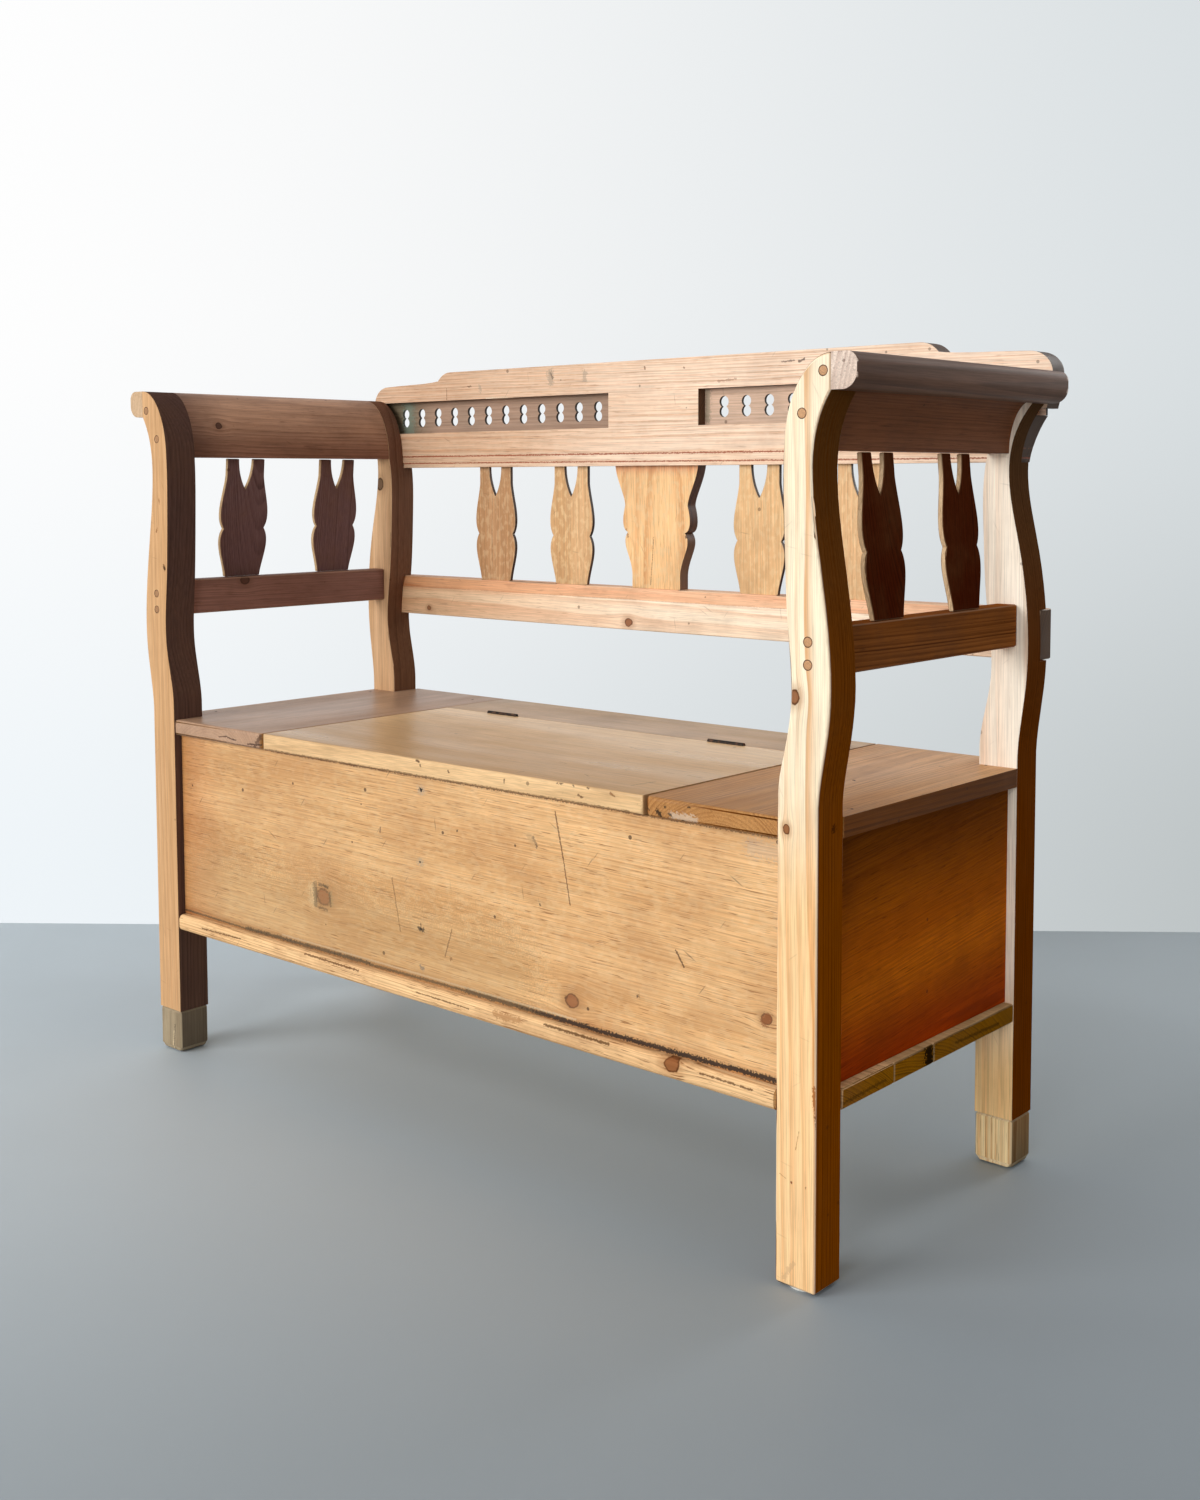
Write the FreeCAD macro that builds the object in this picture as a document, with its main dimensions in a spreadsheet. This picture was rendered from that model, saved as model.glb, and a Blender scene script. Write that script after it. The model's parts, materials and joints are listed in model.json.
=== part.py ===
import FreeCAD, Part
import math
import os

import Sketcher

Vector = FreeCAD.Vector

# A monks bench in pine: a settle on four shaped posts, with a chest under a hinged seat.
# X runs along the bench, the front faces -Y and Z is up. The origin lies on the floor,
# under the middle of the bench. Depths below are measured back from the front of the posts.

SIZES = {
    # main frame
    "frame_length": 1156,
    "frame_depth": 466,
    "post_width": 50,
    "post_depth": 48,
    "seat_height": 490,
    "arm_rise": 465,
    "left_arm_lift": 6,
    "right_arm_lift": 2,
    # feet
    "foot_block_height": 62,
    "foot_chamfer": 5,
    "glide_diameter": 40,
    "glide_thick": 3,
    # the S curve of the posts, as offsets from their straight lower faces
    "wave_start": 15,
    "wave_lean": 3,
    "inner_belly": 22.5,
    "inner_waist": 6.5,
    "inner_shoulder": 5.3,
    "outer_belly": 16.4,
    "outer_waist": 13.2,
    "rear_set_in": 5,
    "rear_outer_belly": 12,
    "rear_outer_waist": 23,
    "scroll_flare": 12,
    "scroll_height": 95,
    # rolls and panels under the arms
    "roll_width": 30,
    "roll_height": 37,
    "roll_lower_round": 17,
    "roll_upper_round": 12,
    "arm_panel_thick": 28,
    "arm_panel_lip": 3,
    "arm_rail_rise": 143,
    "arm_rail_height": 50,
    "arm_rail_thick": 27,
    "arm_rail_inset": 3,
    # chest
    "floor_level": 183,
    "floor_thick": 23,
    "nosing_round": 7,
    "front_floor_board": 150,
    "middle_floor_board": 83,
    "panel_thick": 20,
    "panel_setback": 11,
    # seat
    "seat_thick": 22,
    "seat_front_setback": 2,
    "seat_overhang": 4,
    "left_seat_board": 251,
    "right_seat_board": 228,
    "lid_depth": 342,
    "side_gap": 2,
    "hinge_gap": 1.6,
    "lid_clearance": 0.3,
    "edge_round": 4,
    "corner_round": 10,
    "batten_width": 60,
    "batten_thick": 20,
    "batten_inset": 28,
    "batten_end_gap": 30,
    "batten_bevel": 12,
    # hinges
    "hinge_length": 58,
    "left_hinge_inset": 118,
    "right_hinge_inset": 146,
    "hinge_lift": 0.5,
    "knuckle_radius": 3,
    "knuckle_gap": 0.4,
    "knuckle_clearance": 0.5,
    "leaf_height": 19,
    "leaf_thick": 1.6,
    "leaf_proud": 0.4,
    "pin_radius": 1.5,
    "pin_clearance": 0.15,
    # crest
    "crest_thick": 30,
    "crest_lap": 18,
    "crest_rise": 46,
    "crest_drop": 103,
    "crest_ramp_drop": 13,
    "crest_ramp_half": 449,
    "crest_ramp_reach": 28,
    "crest_dip": 5,
    "crest_end_reach": 10,
    "crest_end_round": 31,
    "crest_hook_inset": 5,
    "crest_hook_tip": 3,
    "lower_bar_height": 55,
    "bar_end_inset": 33,
    "window_height": 50,
    "window_slot": 8,
    "centre_block_width": 165,
    "centre_shift": -8,
    # fret strips
    "fret_thick": 4.5,
    "fret_setback": 15,
    "fret_hole_diameter": 15.5,
    "fret_hole_spacing": 13.5,
    "fret_pitch": 38,
    "fret_margin": 33,
    # lower back rail
    "back_rail_rise": 126,
    "back_rail_height": 61,
    "back_rail_thick": 34,
    "back_rail_lap": 16,
    "back_rail_overrun": 8,
    "bevel_height": 17,
    "bevel_depth": 5,
    # splats
    "splat_setback": 8,
    "splat_thick": 6.5,
    "splat_foot_half": 31.5,
    "splat_belly_half": 42,
    "splat_waist_half": 36.5,
    "splat_ear_half": 33.5,
    "splat_ear_height": 25,
    "splat_ease": 3,
    "splat_bulge": 9,
    "splat_waist_height": 72,
    "notch_half": 13,
    "notch_depth": 45,
    "inner_splat_x": 172,
    "outer_splat_x": 331,
    "tenon_depth": 8,
    "tenon_shoulder": 3,
    "centre_splat_thick": 18,
    "centre_foot_half": 44,
    "centre_belly_half": 58,
    "centre_notch_half": 52.5,
    "centre_upper_half": 62,
    "centre_neck_half": 57.5,
    "centre_top_half": 76,
    "centre_top_flare": 23,
    "centre_notch_height": 80,
    "left_arm_splat_front": 153,
    "left_arm_splat_rear": 328,
    "right_arm_splat_front": 137,
    "right_arm_splat_rear": 300,
    "arm_splat_play": 0.5,
    "arm_splat_top_set": 21.5,
    "right_arm_splat_share": 0.93,
    # wooden pegs
    "dowel_diameter": 11,
    "dowel_reach": 32,
    "dowel_play": 0.1,
    "rear_dowel_depth": 24,
    "upper_dowel_inset": 9,
    "upper_dowel_drop": 18,
    "lower_dowel_inset": 23,
    "lower_dowel_rise": 36,
    "left_dowel_drop": 10,
    "rail_dowel_inset": 17,
    "rail_dowel_edge": 13.5,
    "peg_diameter": 9,
    "peg_tip_gap": 2,
    "crest_peg_inset": 24,
    "crest_peg_rise": 14,
    "rail_peg_inset": 14,
    "rail_peg_spread": 16,
    "rail_peg_edge": 16.5,
}
FRET_HOLES = 12
OVERCUT = 10
LONG_EDGE = 20

document = FreeCAD.newDocument("monks_bench")
sheet = document.addObject("Spreadsheet::Sheet", "Sizes")
for row, (alias, number) in enumerate(SIZES.items(), start=1):
    sheet.set(f"A{row}", alias.replace("_", " "))
    sheet.set(f"B{row}", str(number))
    sheet.setAlias(f"B{row}", alias)
document.recompute()


class Size:
    # A length that carries both its value and the sheet formula that gives it.
    def __init__(self, value, formula):
        self.value = value
        self.formula = formula

    def __add__(self, other):
        other = as_size(other)
        return Size(self.value + other.value, f"({self.formula} + {other.formula})")

    def __sub__(self, other):
        other = as_size(other)
        return Size(self.value - other.value, f"({self.formula} - {other.formula})")

    def __mul__(self, other):
        other = as_size(other)
        return Size(self.value * other.value, f"({self.formula} * {other.formula})")

    def __truediv__(self, other):
        other = as_size(other)
        return Size(self.value / other.value, f"({self.formula} / {other.formula})")

    def __neg__(self):
        return Size(-self.value, f"(0 - {self.formula})")

    def __radd__(self, other):
        return as_size(other) + self

    def __rsub__(self, other):
        return as_size(other) - self

    def __rmul__(self, other):
        return as_size(other) * self


def as_size(number):
    if isinstance(number, Size):
        return number
    return Size(number, f"({number})")


class Sheet:
    # The driving dimensions, read back from the spreadsheet by name.
    def __getattr__(self, alias):
        return Size(float(sheet.get(alias)), f"Sizes.{alias}")


d = Sheet()
LEFT = -1
RIGHT = 1

# Places that several pieces share.
frame_half = d.frame_length / 2
post_inner = frame_half - d.post_width
front_y = -(d.frame_depth + d.back_rail_thick - d.back_rail_lap) / 2
rear_post_y = d.frame_depth - d.post_depth
arm_top = d.seat_height + d.arm_rise
scroll_x = frame_half + d.scroll_flare
wave_bottom = d.seat_height + d.wave_start
seat_under = d.seat_height - d.seat_thick
floor_top = d.floor_level + d.floor_thick
crest_y = d.frame_depth - d.crest_lap
crest_top = arm_top + d.crest_rise
crest_bottom = arm_top - d.crest_drop
window_bottom = crest_bottom + d.lower_bar_height
window_top = window_bottom + d.window_height
back_rail_y = d.frame_depth - d.back_rail_lap
back_rail_bottom = d.seat_height + d.back_rail_rise
back_rail_top = back_rail_bottom + d.back_rail_height
arm_rail_outer = frame_half - d.arm_rail_inset
arm_rail_inner = arm_rail_outer - d.arm_rail_thick
arm_panel_inner = post_inner + d.inner_shoulder
hook_inner = scroll_x - d.crest_hook_inset
splat_y = crest_y + d.splat_setback
lid_left = -frame_half + d.left_seat_board + d.side_gap
lid_right = frame_half - d.right_seat_board - d.side_gap
lid_back = d.seat_front_setback + d.lid_depth
hinge_y = lid_back + d.hinge_gap / 2
hinge_z = d.seat_height + d.hinge_lift
seat_back = d.frame_depth + d.seat_overhang
block_left = d.centre_shift - d.centre_block_width / 2
block_right = d.centre_shift + d.centre_block_width / 2


def bind(target, path, value):
    target.setExpression(path, as_size(value).formula)


def new_body(label, x=None, y=None, z=None):
    # A sub-part whose own origin stands at the given place in the bench.
    body = document.addObject("PartDesign::Body", label)
    body.Label = label
    bind(body, ".Placement.Base.y", front_y if y is None else front_y + y)
    if x is not None:
        bind(body, ".Placement.Base.x", x)
    if z is not None:
        bind(body, ".Placement.Base.z", z)
    return body


def new_sketch(body, role, name, offset=None):
    sketch = body.newObject("Sketcher::SketchObject", f"{body.Name}_{name}")
    for feature in body.Origin.OriginFeatures:
        if feature.Role == role:
            sketch.AttachmentSupport = (feature, "")
    sketch.MapMode = "FlatFace"
    if offset is not None:
        bind(sketch, ".AttachmentOffset.Base.z", offset)
    return sketch


def pin_point(sketch, geometry, position, point):
    # Ties one point of the sketch to its two distances from the sketch's origin.
    for kind, distance in zip(("DistanceX", "DistanceY"), point):
        distance = as_size(distance)
        constraint = Sketcher.Constraint(kind, -1, 1, geometry, position, distance.value)
        index = sketch.addConstraint(constraint)
        bind(sketch, f"Constraints[{index}]", distance)


def add_spline(sketch, poles):
    # A clamped cubic spline; every pole but the last is tied down here.
    points = [Vector(as_size(x).value, as_size(y).value, 0) for x, y in poles]
    spans = len(points) - 3
    knots = [index / spans for index in range(spans + 1)]
    multiplicities = [4] + [1] * (spans - 1) + [4]
    curve = Part.BSplineCurve()
    curve.buildFromPolesMultsKnots(points, multiplicities, knots, False, 3)
    spline = sketch.addGeometry(curve, False)
    first = None
    for index, point in enumerate(points):
        circle = Part.Circle(point, Vector(0, 0, 1), 1)
        handle = sketch.addGeometry(circle, True)
        if first is None:
            first = handle
            sketch.addConstraint(Sketcher.Constraint("Weight", handle, 1.0))
        else:
            sketch.addConstraint(Sketcher.Constraint("Equal", first, handle))
        pole = Sketcher.Constraint(
            "InternalAlignment:Sketcher::BSplineControlPoint", handle, 3, spline, index
        )
        sketch.addConstraint(pole)
        if index < len(points) - 1:
            pin_point(sketch, handle, 3, poles[index])
    return spline


def outline(sketch, start, steps):
    # A closed outline. A step of one point is a straight edge to it, and a step of
    # three or more points is a spline that has them as its further poles.
    edges = []
    here = start
    for step in steps + [[start]]:
        there = step[-1]
        if len(step) == 1:
            first = Vector(as_size(here[0]).value, as_size(here[1]).value, 0)
            last = Vector(as_size(there[0]).value, as_size(there[1]).value, 0)
            edge = sketch.addGeometry(Part.LineSegment(first, last), False)
            pin_point(sketch, edge, 1, here)
        else:
            edge = add_spline(sketch, [here] + step)
        edges.append(edge)
        here = there
    for edge, follower in zip(edges, edges[1:] + edges[:1]):
        sketch.addConstraint(Sketcher.Constraint("Coincident", edge, 2, follower, 1))


def rectangle(sketch, left, right, bottom, top):
    outline(sketch, (left, bottom), [[(right, bottom)], [(right, top)], [(left, top)]])


def circle(sketch, centre, radius):
    radius = as_size(radius)
    middle = Vector(as_size(centre[0]).value, as_size(centre[1]).value, 0)
    shape = sketch.addGeometry(Part.Circle(middle, Vector(0, 0, 1), radius.value), False)
    pin_point(sketch, shape, 3, centre)
    index = sketch.addConstraint(Sketcher.Constraint("Radius", shape, radius.value))
    bind(sketch, f"Constraints[{index}]", radius)


def round_to(here, corner, there):
    # The further poles of a quarter-round that leaves here towards corner and ends there.
    lean = 0.5523
    near = [a + (b - a) * lean for a, b in zip(map(as_size, here), map(as_size, corner))]
    far = [a + (b - a) * lean for a, b in zip(map(as_size, there), map(as_size, corner))]
    return [tuple(near), tuple(far), there]


def pad(body, sketch, length, name="pad", backwards=False):
    feature = body.newObject("PartDesign::Pad", f"{body.Name}_{name}")
    feature.Profile = sketch
    feature.Reversed = backwards
    bind(feature, "Length", length)
    document.recompute()
    return feature


def pocket(body, sketch, length, name="pocket", backwards=False):
    before = body.Tip.Shape.Volume
    feature = body.newObject("PartDesign::Pocket", f"{body.Name}_{name}")
    feature.Profile = sketch
    feature.Reversed = backwards
    bind(feature, "Length", length)
    document.recompute()
    if not feature.Shape.Volume < before - 1:
        raise RuntimeError(f"{feature.Name} removes nothing")
    return feature


def dress(body, kind, size, chosen, name):
    # A fillet or chamfer on the edges that the chosen test picks.
    tip = body.Tip
    picked = [
        f"Edge{index}" for index, edge in enumerate(tip.Shape.Edges, start=1) if chosen(edge)
    ]
    if not picked:
        raise RuntimeError(f"{body.Name} has no edges for {name}")
    feature = body.newObject(f"PartDesign::{kind}", f"{body.Name}_{name}")
    feature.Base = (tip, picked)
    bind(feature, "Radius" if kind == "Fillet" else "Size", size)
    document.recompute()
    return feature


def at(edge, **limits):
    # True where the whole edge lies at the given coordinates, within a tenth.
    box = edge.BoundBox
    spans = {"x": (box.XMin, box.XMax), "y": (box.YMin, box.YMax), "z": (box.ZMin, box.ZMax)}
    for axis, wanted in limits.items():
        low, high = spans[axis]
        if abs(low - wanted) > 0.1 or abs(high - wanted) > 0.1:
            return False
    return True


def mirror_x(side, points):
    return [(side * as_size(x), z) for x, z in points]


def inner_wave(arm, set_in):
    # Poles up the inner face of a post, from above the seat to the shoulder.
    rise = arm.shoulder - wave_bottom
    offsets = [
        (1 / 12, -0.05 * d.inner_belly),
        (1 / 4, d.inner_belly),
        (1 / 2, d.inner_waist + d.wave_lean - set_in),
        (3 / 4, d.inner_waist - set_in),
        (11 / 12, d.inner_waist - d.wave_lean - set_in),
        (1, d.inner_shoulder),
    ]
    return [(post_inner + offset, wave_bottom + rise * part) for part, offset in offsets]


def outer_wave(arm, waist, belly, lean):
    # Poles down the outer face of a post, from under the roll to above the seat.
    rise = arm.roll_bottom - wave_bottom
    offsets = [
        (14 / 15, -0.5 * waist),
        (4 / 5, -waist),
        (3 / 5, as_size(0)),
        (2 / 5, belly - lean),
        (1 / 5, belly),
        (1 / 15, belly * 0.08),
        (0, as_size(0)),
    ]
    return [(frame_half + offset, wave_bottom + rise * part) for part, offset in offsets]


def scroll_curve(arm):
    # The concave sweep of the arm, from the shoulder out to the roll.
    here = (arm_panel_inner, arm.shoulder)
    return round_to(here, (arm_panel_inner, arm.top), (scroll_x, arm.top))


class Arm:
    # The heights of one arm and the places of the pegs in its posts: the arms differ a
    # little. Widths are those of the right-hand side, and the left-hand side mirrors them.
    def __init__(self, lift, drop):
        self.top = arm_top + lift
        self.shoulder = self.top - d.scroll_height
        self.roll_bottom = self.top - d.roll_height
        self.rail_bottom = d.seat_height + d.arm_rail_rise + lift
        self.rail_top = self.rail_bottom + d.arm_rail_height
        upper_z = self.top - d.upper_dowel_drop - drop
        lower_z = self.shoulder + d.lower_dowel_rise - drop
        self.panel_dowels = [
            (scroll_x - d.upper_dowel_inset, upper_z),
            (arm_panel_inner + d.lower_dowel_inset, lower_z),
        ]
        rail_x = arm_rail_inner + d.rail_dowel_inset
        self.rail_dowels = [
            (rail_x, self.rail_top - d.rail_dowel_edge - drop / 2),
            (rail_x, self.rail_bottom + d.rail_dowel_edge - drop / 2),
        ]
        self.dowels = self.panel_dowels + self.rail_dowels


arms = {
    LEFT: Arm(d.left_arm_lift, d.left_dowel_drop),
    RIGHT: Arm(d.right_arm_lift, as_size(0)),
}
crest_peg = (frame_half - d.crest_peg_inset, crest_bottom + d.crest_peg_rise)
rail_peg_x = frame_half - d.rail_peg_inset
rail_pegs = [
    (rail_peg_x, back_rail_top - d.rail_peg_edge),
    (rail_peg_x - d.rail_peg_spread, back_rail_bottom + d.rail_peg_edge),
]
peg_tip_y = rear_post_y + d.rear_dowel_depth + d.peg_tip_gap


def make_post(label, side, rear, foot):
    arm = arms[side]
    if rear:
        set_in = d.rear_set_in
        outer = outer_wave(arm, d.rear_outer_waist, d.rear_outer_belly, 0)
    else:
        set_in = as_size(0)
        outer = outer_wave(arm, d.outer_waist, d.outer_belly, d.wave_lean)
    body = new_body(label, y=rear_post_y if rear else as_size(0))
    sketch = new_sketch(body, "XZ_Plane", "outline")
    outline(
        sketch,
        (side * post_inner, foot),
        [
            [(side * post_inner, wave_bottom)],
            mirror_x(side, inner_wave(arm, set_in)),
            mirror_x(side, scroll_curve(arm)),
            [(side * scroll_x, arm.roll_bottom)],
            mirror_x(side, outer),
            [(side * frame_half, foot)],
        ],
    )
    pad(body, sketch, d.post_depth, backwards=True)
    if rear:
        laps = (
            ("crest", crest_bottom, arm.top + OVERCUT, d.crest_lap),
            ("rail", back_rail_bottom, back_rail_top, d.back_rail_lap),
        )
        for name, low, high, depth in laps:
            lap = new_sketch(body, "XZ_Plane", f"{name}_lap", offset=depth - d.post_depth)
            near = side * (post_inner - OVERCUT)
            far = side * (scroll_x + OVERCUT)
            rectangle(lap, near, far, low, high)
            pocket(body, lap, depth, f"{name}_lap_pocket")
    holes = new_sketch(body, "XZ_Plane", "dowel_holes")
    for x, z in arm.dowels:
        circle(holes, (side * x, z), d.dowel_diameter / 2 + d.dowel_play)
    pocket(body, holes, d.rear_dowel_depth if rear else d.post_depth, "dowel_bores")
    if rear:
        pegs = new_sketch(body, "XZ_Plane", "peg_holes", offset=-d.post_depth)
        for x, z in [crest_peg] + rail_pegs:
            circle(pegs, (side * x, z), d.peg_diameter / 2 + d.dowel_play)
        pocket(body, pegs, d.frame_depth - peg_tip_y, "peg_bores", backwards=True)
    return body


def make_foot_block(label, side, rear):
    body = new_body(label, y=rear_post_y if rear else as_size(0))
    sketch = new_sketch(body, "XZ_Plane", "outline")
    rectangle(sketch, side * post_inner, side * frame_half, as_size(0), d.foot_block_height)
    pad(body, sketch, d.post_depth, backwards=True)
    dress(body, "Chamfer", d.foot_chamfer, lambda edge: at(edge, z=0), "worn_sole")
    return body


def make_glide():
    body = new_body("front_right_glide", x=frame_half - d.post_width / 2, y=d.post_depth / 2)
    sketch = new_sketch(body, "XY_Plane", "outline")
    circle(sketch, (as_size(0), as_size(0)), d.glide_diameter / 2)
    pad(body, sketch, d.glide_thick)
    return body


def make_roll(label, side):
    arm = arms[side]
    body = new_body(label)
    sketch = new_sketch(body, "XZ_Plane", "section")
    nose = scroll_x + d.roll_width
    top_start = (nose - d.roll_upper_round, arm.top)
    top_end = (nose, arm.top - d.roll_upper_round)
    low_start = (nose, arm.roll_bottom + d.roll_lower_round)
    low_end = (nose - d.roll_lower_round, arm.roll_bottom)
    outline(
        sketch,
        (side * scroll_x, arm.roll_bottom),
        [
            [(side * scroll_x, arm.top)],
            mirror_x(side, [top_start]),
            mirror_x(side, round_to(top_start, (nose, arm.top), top_end)),
            mirror_x(side, [low_start]),
            mirror_x(side, round_to(low_start, (nose, arm.roll_bottom), low_end)),
        ],
    )
    pad(body, sketch, crest_y, backwards=True)
    return body


def make_arm_panel(label, side):
    # One coved board: its inner face carries on the sweep of the posts.
    arm = arms[side]
    body = new_body(label, y=d.post_depth)
    sketch = new_sketch(body, "XZ_Plane", "section")
    back = arm_panel_inner + d.arm_panel_thick
    back_top = (scroll_x, arm.roll_bottom + d.arm_panel_lip)
    back_foot = (back, arm.shoulder)
    outline(
        sketch,
        (side * arm_panel_inner, arm.shoulder),
        [
            mirror_x(side, scroll_curve(arm)),
            mirror_x(side, [back_top]),
            mirror_x(side, round_to(back_top, (back, back_top[1]), back_foot)),
        ],
    )
    length = d.frame_depth - 2 * d.post_depth
    pad(body, sketch, length, backwards=True)
    bore_ends(body, side, arm.panel_dowels, length)
    return body


def bore_ends(body, side, places, length):
    # Blind dowel holes in both ends of a piece that lies between two posts.
    front = new_sketch(body, "XZ_Plane", "front_dowel_holes")
    rear = new_sketch(body, "XZ_Plane", "rear_dowel_holes", offset=-length)
    for x, z in places:
        circle(front, (side * x, z), d.dowel_diameter / 2 + d.dowel_play)
        circle(rear, (side * x, z), d.dowel_diameter / 2 + d.dowel_play)
    pocket(body, front, d.dowel_reach, "front_bores")
    pocket(body, rear, d.dowel_reach, "rear_bores", backwards=True)


def make_arm_rail(label, side):
    arm = arms[side]
    body = new_body(label, y=d.post_depth)
    sketch = new_sketch(body, "XZ_Plane", "section")
    near = side * arm_rail_inner
    far = side * arm_rail_outer
    rectangle(sketch, near, far, arm.rail_bottom, arm.rail_top)
    length = d.frame_depth - 2 * d.post_depth
    pad(body, sketch, length, backwards=True)
    bore_ends(body, side, arm.rail_dowels, length)
    return body


def make_arm_dowels(label, side):
    # Eight pegs: four through the front post, four blind in the rear post.
    places = arms[side].dowels
    body = new_body(label)
    front = new_sketch(body, "XZ_Plane", "front_pegs")
    for x, z in places:
        circle(front, (side * x, z), d.dowel_diameter / 2)
    pad(body, front, d.post_depth + d.dowel_reach, "front_pad", backwards=True)
    start = rear_post_y - d.dowel_reach
    rear = new_sketch(body, "XZ_Plane", "rear_pegs", offset=-start)
    for x, z in places:
        circle(rear, (side * x, z), d.dowel_diameter / 2)
    pad(body, rear, d.dowel_reach + d.rear_dowel_depth, "rear_pad", backwards=True)
    return body


def splat_half(height):
    # The right half of a small splat, from its foot up to the top of its ear, then down
    # into the notch between the two ears.
    waist = d.splat_waist_height
    return [
        [
            (d.splat_foot_half + d.splat_ease, waist * 0.35),
            (d.splat_belly_half + d.splat_bulge, waist * 0.72),
            (d.splat_waist_half, waist),
        ],
        [
            (d.splat_belly_half + d.splat_bulge, waist * 1.28),
            (d.splat_ear_half + d.splat_ease, waist * 1.7),
            (d.splat_ear_half, height - d.splat_ear_height),
        ],
        [(d.splat_ear_half, height)],
        [(d.notch_half, height)],
        [
            (d.notch_half, height - d.notch_depth * 0.45),
            (d.notch_half * 0.45, height - d.notch_depth * 0.8),
            (as_size(0), height - d.notch_depth),
        ],
    ]


def centre_half(height):
    # The right half of the broad centre splat, from its foot up to the crest.
    notch = d.centre_notch_height
    return [
        [(d.centre_foot_half, notch * 0.22)],
        [
            (d.centre_foot_half, notch * 0.56),
            (d.centre_belly_half + d.splat_bulge, notch * 0.78),
            (d.centre_notch_half, notch),
        ],
        [
            (d.centre_upper_half + d.splat_ease, notch * 1.05),
            (d.centre_upper_half, notch * 1.3),
            (d.centre_neck_half, notch * 1.475),
        ],
        [
            (d.centre_neck_half, notch * 1.65),
            (d.centre_top_half - d.splat_ease, height - d.centre_top_flare),
            (d.centre_top_half, height),
        ],
    ]


def mirrored(half, foot):
    # The whole outline: the half as drawn, then its mirror image walked backwards.
    places = [(foot, as_size(0))] + [point for step in half for point in step]
    flat = [(-x, y) for x, y in places]
    back = []
    end = len(flat) - 1
    for step in reversed(half):
        count = len(step)
        back.append([flat[index] for index in range(end - 1, end - 1 - count, -1)])
        end -= count
    return half + back


def make_back_splat(label, x, half, foot_half, top_stubs, thick):
    height = crest_bottom - back_rail_top
    body = new_body(label, x=x, y=splat_y, z=back_rail_top)
    sketch = new_sketch(body, "XZ_Plane", "outline")
    if top_stubs is centre_stubs:
        steps = half + [[(-half[-1][-1][0], half[-1][-1][1])]]
        steps = steps + mirrored(half, foot_half)[len(half):]
    else:
        steps = mirrored(half, foot_half)
    outline(sketch, (foot_half, as_size(0)), steps)
    pad(body, sketch, thick, backwards=True)
    stubs = new_sketch(body, "XZ_Plane", "tenons")
    inset = foot_half - d.tenon_shoulder
    rectangle(stubs, -inset, inset, -d.tenon_depth, as_size(0))
    for left, right in top_stubs():
        rectangle(stubs, left, right, height, height + d.tenon_depth)
    pad(body, stubs, thick, "tenon_pad", backwards=True)
    return body


def ear_stubs():
    return [(-d.splat_ear_half, -d.notch_half), (d.notch_half, d.splat_ear_half)]


def centre_stubs():
    inset = d.centre_top_half - d.tenon_shoulder
    return [(-inset, inset)]


def make_arm_splat(label, side, middle, share):
    # It leans inwards, from the outer edge of the rail up to the foot of the coved panel.
    arm = arms[side]
    low_x = arm_rail_outer - d.splat_thick / 2 - d.arm_splat_play
    high_x = arm_panel_inner + d.arm_splat_top_set
    rise = arm.shoulder - arm.rail_top
    height = rise - 2 * d.arm_splat_play
    run = low_x - high_x
    body = new_body(label, x=side * low_x, y=middle, z=arm.rail_top + d.arm_splat_play)
    lean = -side * math.degrees(math.atan(run.value / rise.value))
    body.Placement.Rotation = FreeCAD.Rotation(Vector(0, 1, 0), lean)
    body.setExpression(".Placement.Rotation.Angle", f"{-side} * atan({(run / rise).formula})")
    sketch = new_sketch(body, "YZ_Plane", "outline", offset=-d.splat_thick / 2)
    half = [[(share * x, z) for x, z in step] for step in splat_half(height)]
    foot = share * d.splat_foot_half
    outline(sketch, (foot, as_size(0)), mirrored(half, foot))
    pad(body, sketch, d.splat_thick)
    return body


def crest_side(side):
    # The outline of the crest from the end of its lower bar, round the window, over the
    # hooked end and the ramp, up to the start of the level top.
    block = block_right if side == RIGHT else -block_left
    bar_end = scroll_x - d.bar_end_inset
    bar_top = scroll_x - d.bar_end_inset * 0.3
    hook_outer = scroll_x + d.crest_end_reach
    hook_bottom = window_bottom + d.window_slot
    hook_rise = window_top - hook_bottom
    ramp_foot = crest_top - d.crest_ramp_drop
    low = ramp_foot - d.crest_dip
    steps = [
        [
            (bar_end + d.crest_hook_tip, crest_bottom + d.lower_bar_height * 0.36),
            (bar_top - d.bar_end_inset * 0.3, crest_bottom + d.lower_bar_height * 0.75),
            (bar_top, window_bottom),
        ],
        [(block, window_bottom)],
        [(block, window_top)],
        [(hook_inner, window_top)],
        [(hook_inner, hook_bottom)],
        [(scroll_x + d.crest_hook_tip, hook_bottom)],
        [
            (scroll_x + d.crest_end_reach * 0.6, hook_bottom + hook_rise * 0.3),
            (hook_outer, hook_bottom + hook_rise * 0.6),
            (hook_outer, window_top),
        ],
        [
            (hook_outer, (window_top + low) / 2),
            (hook_outer - d.crest_end_round * 0.4, low),
            (hook_outer - d.crest_end_round, low),
        ],
        [
            (hook_outer - d.crest_end_round * 2.4, low + d.crest_dip * 0.4),
            (d.crest_ramp_half + d.crest_ramp_reach, low + d.crest_dip * 0.2),
            (d.crest_ramp_half, ramp_foot),
        ],
        [
            (d.crest_ramp_half - d.crest_ramp_reach * 0.2, ramp_foot + d.crest_ramp_drop / 2),
            (d.crest_ramp_half - d.crest_ramp_reach / 2, crest_top),
            (d.crest_ramp_half - d.crest_ramp_reach, crest_top),
        ],
    ]
    return (bar_end, crest_bottom), steps


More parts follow.
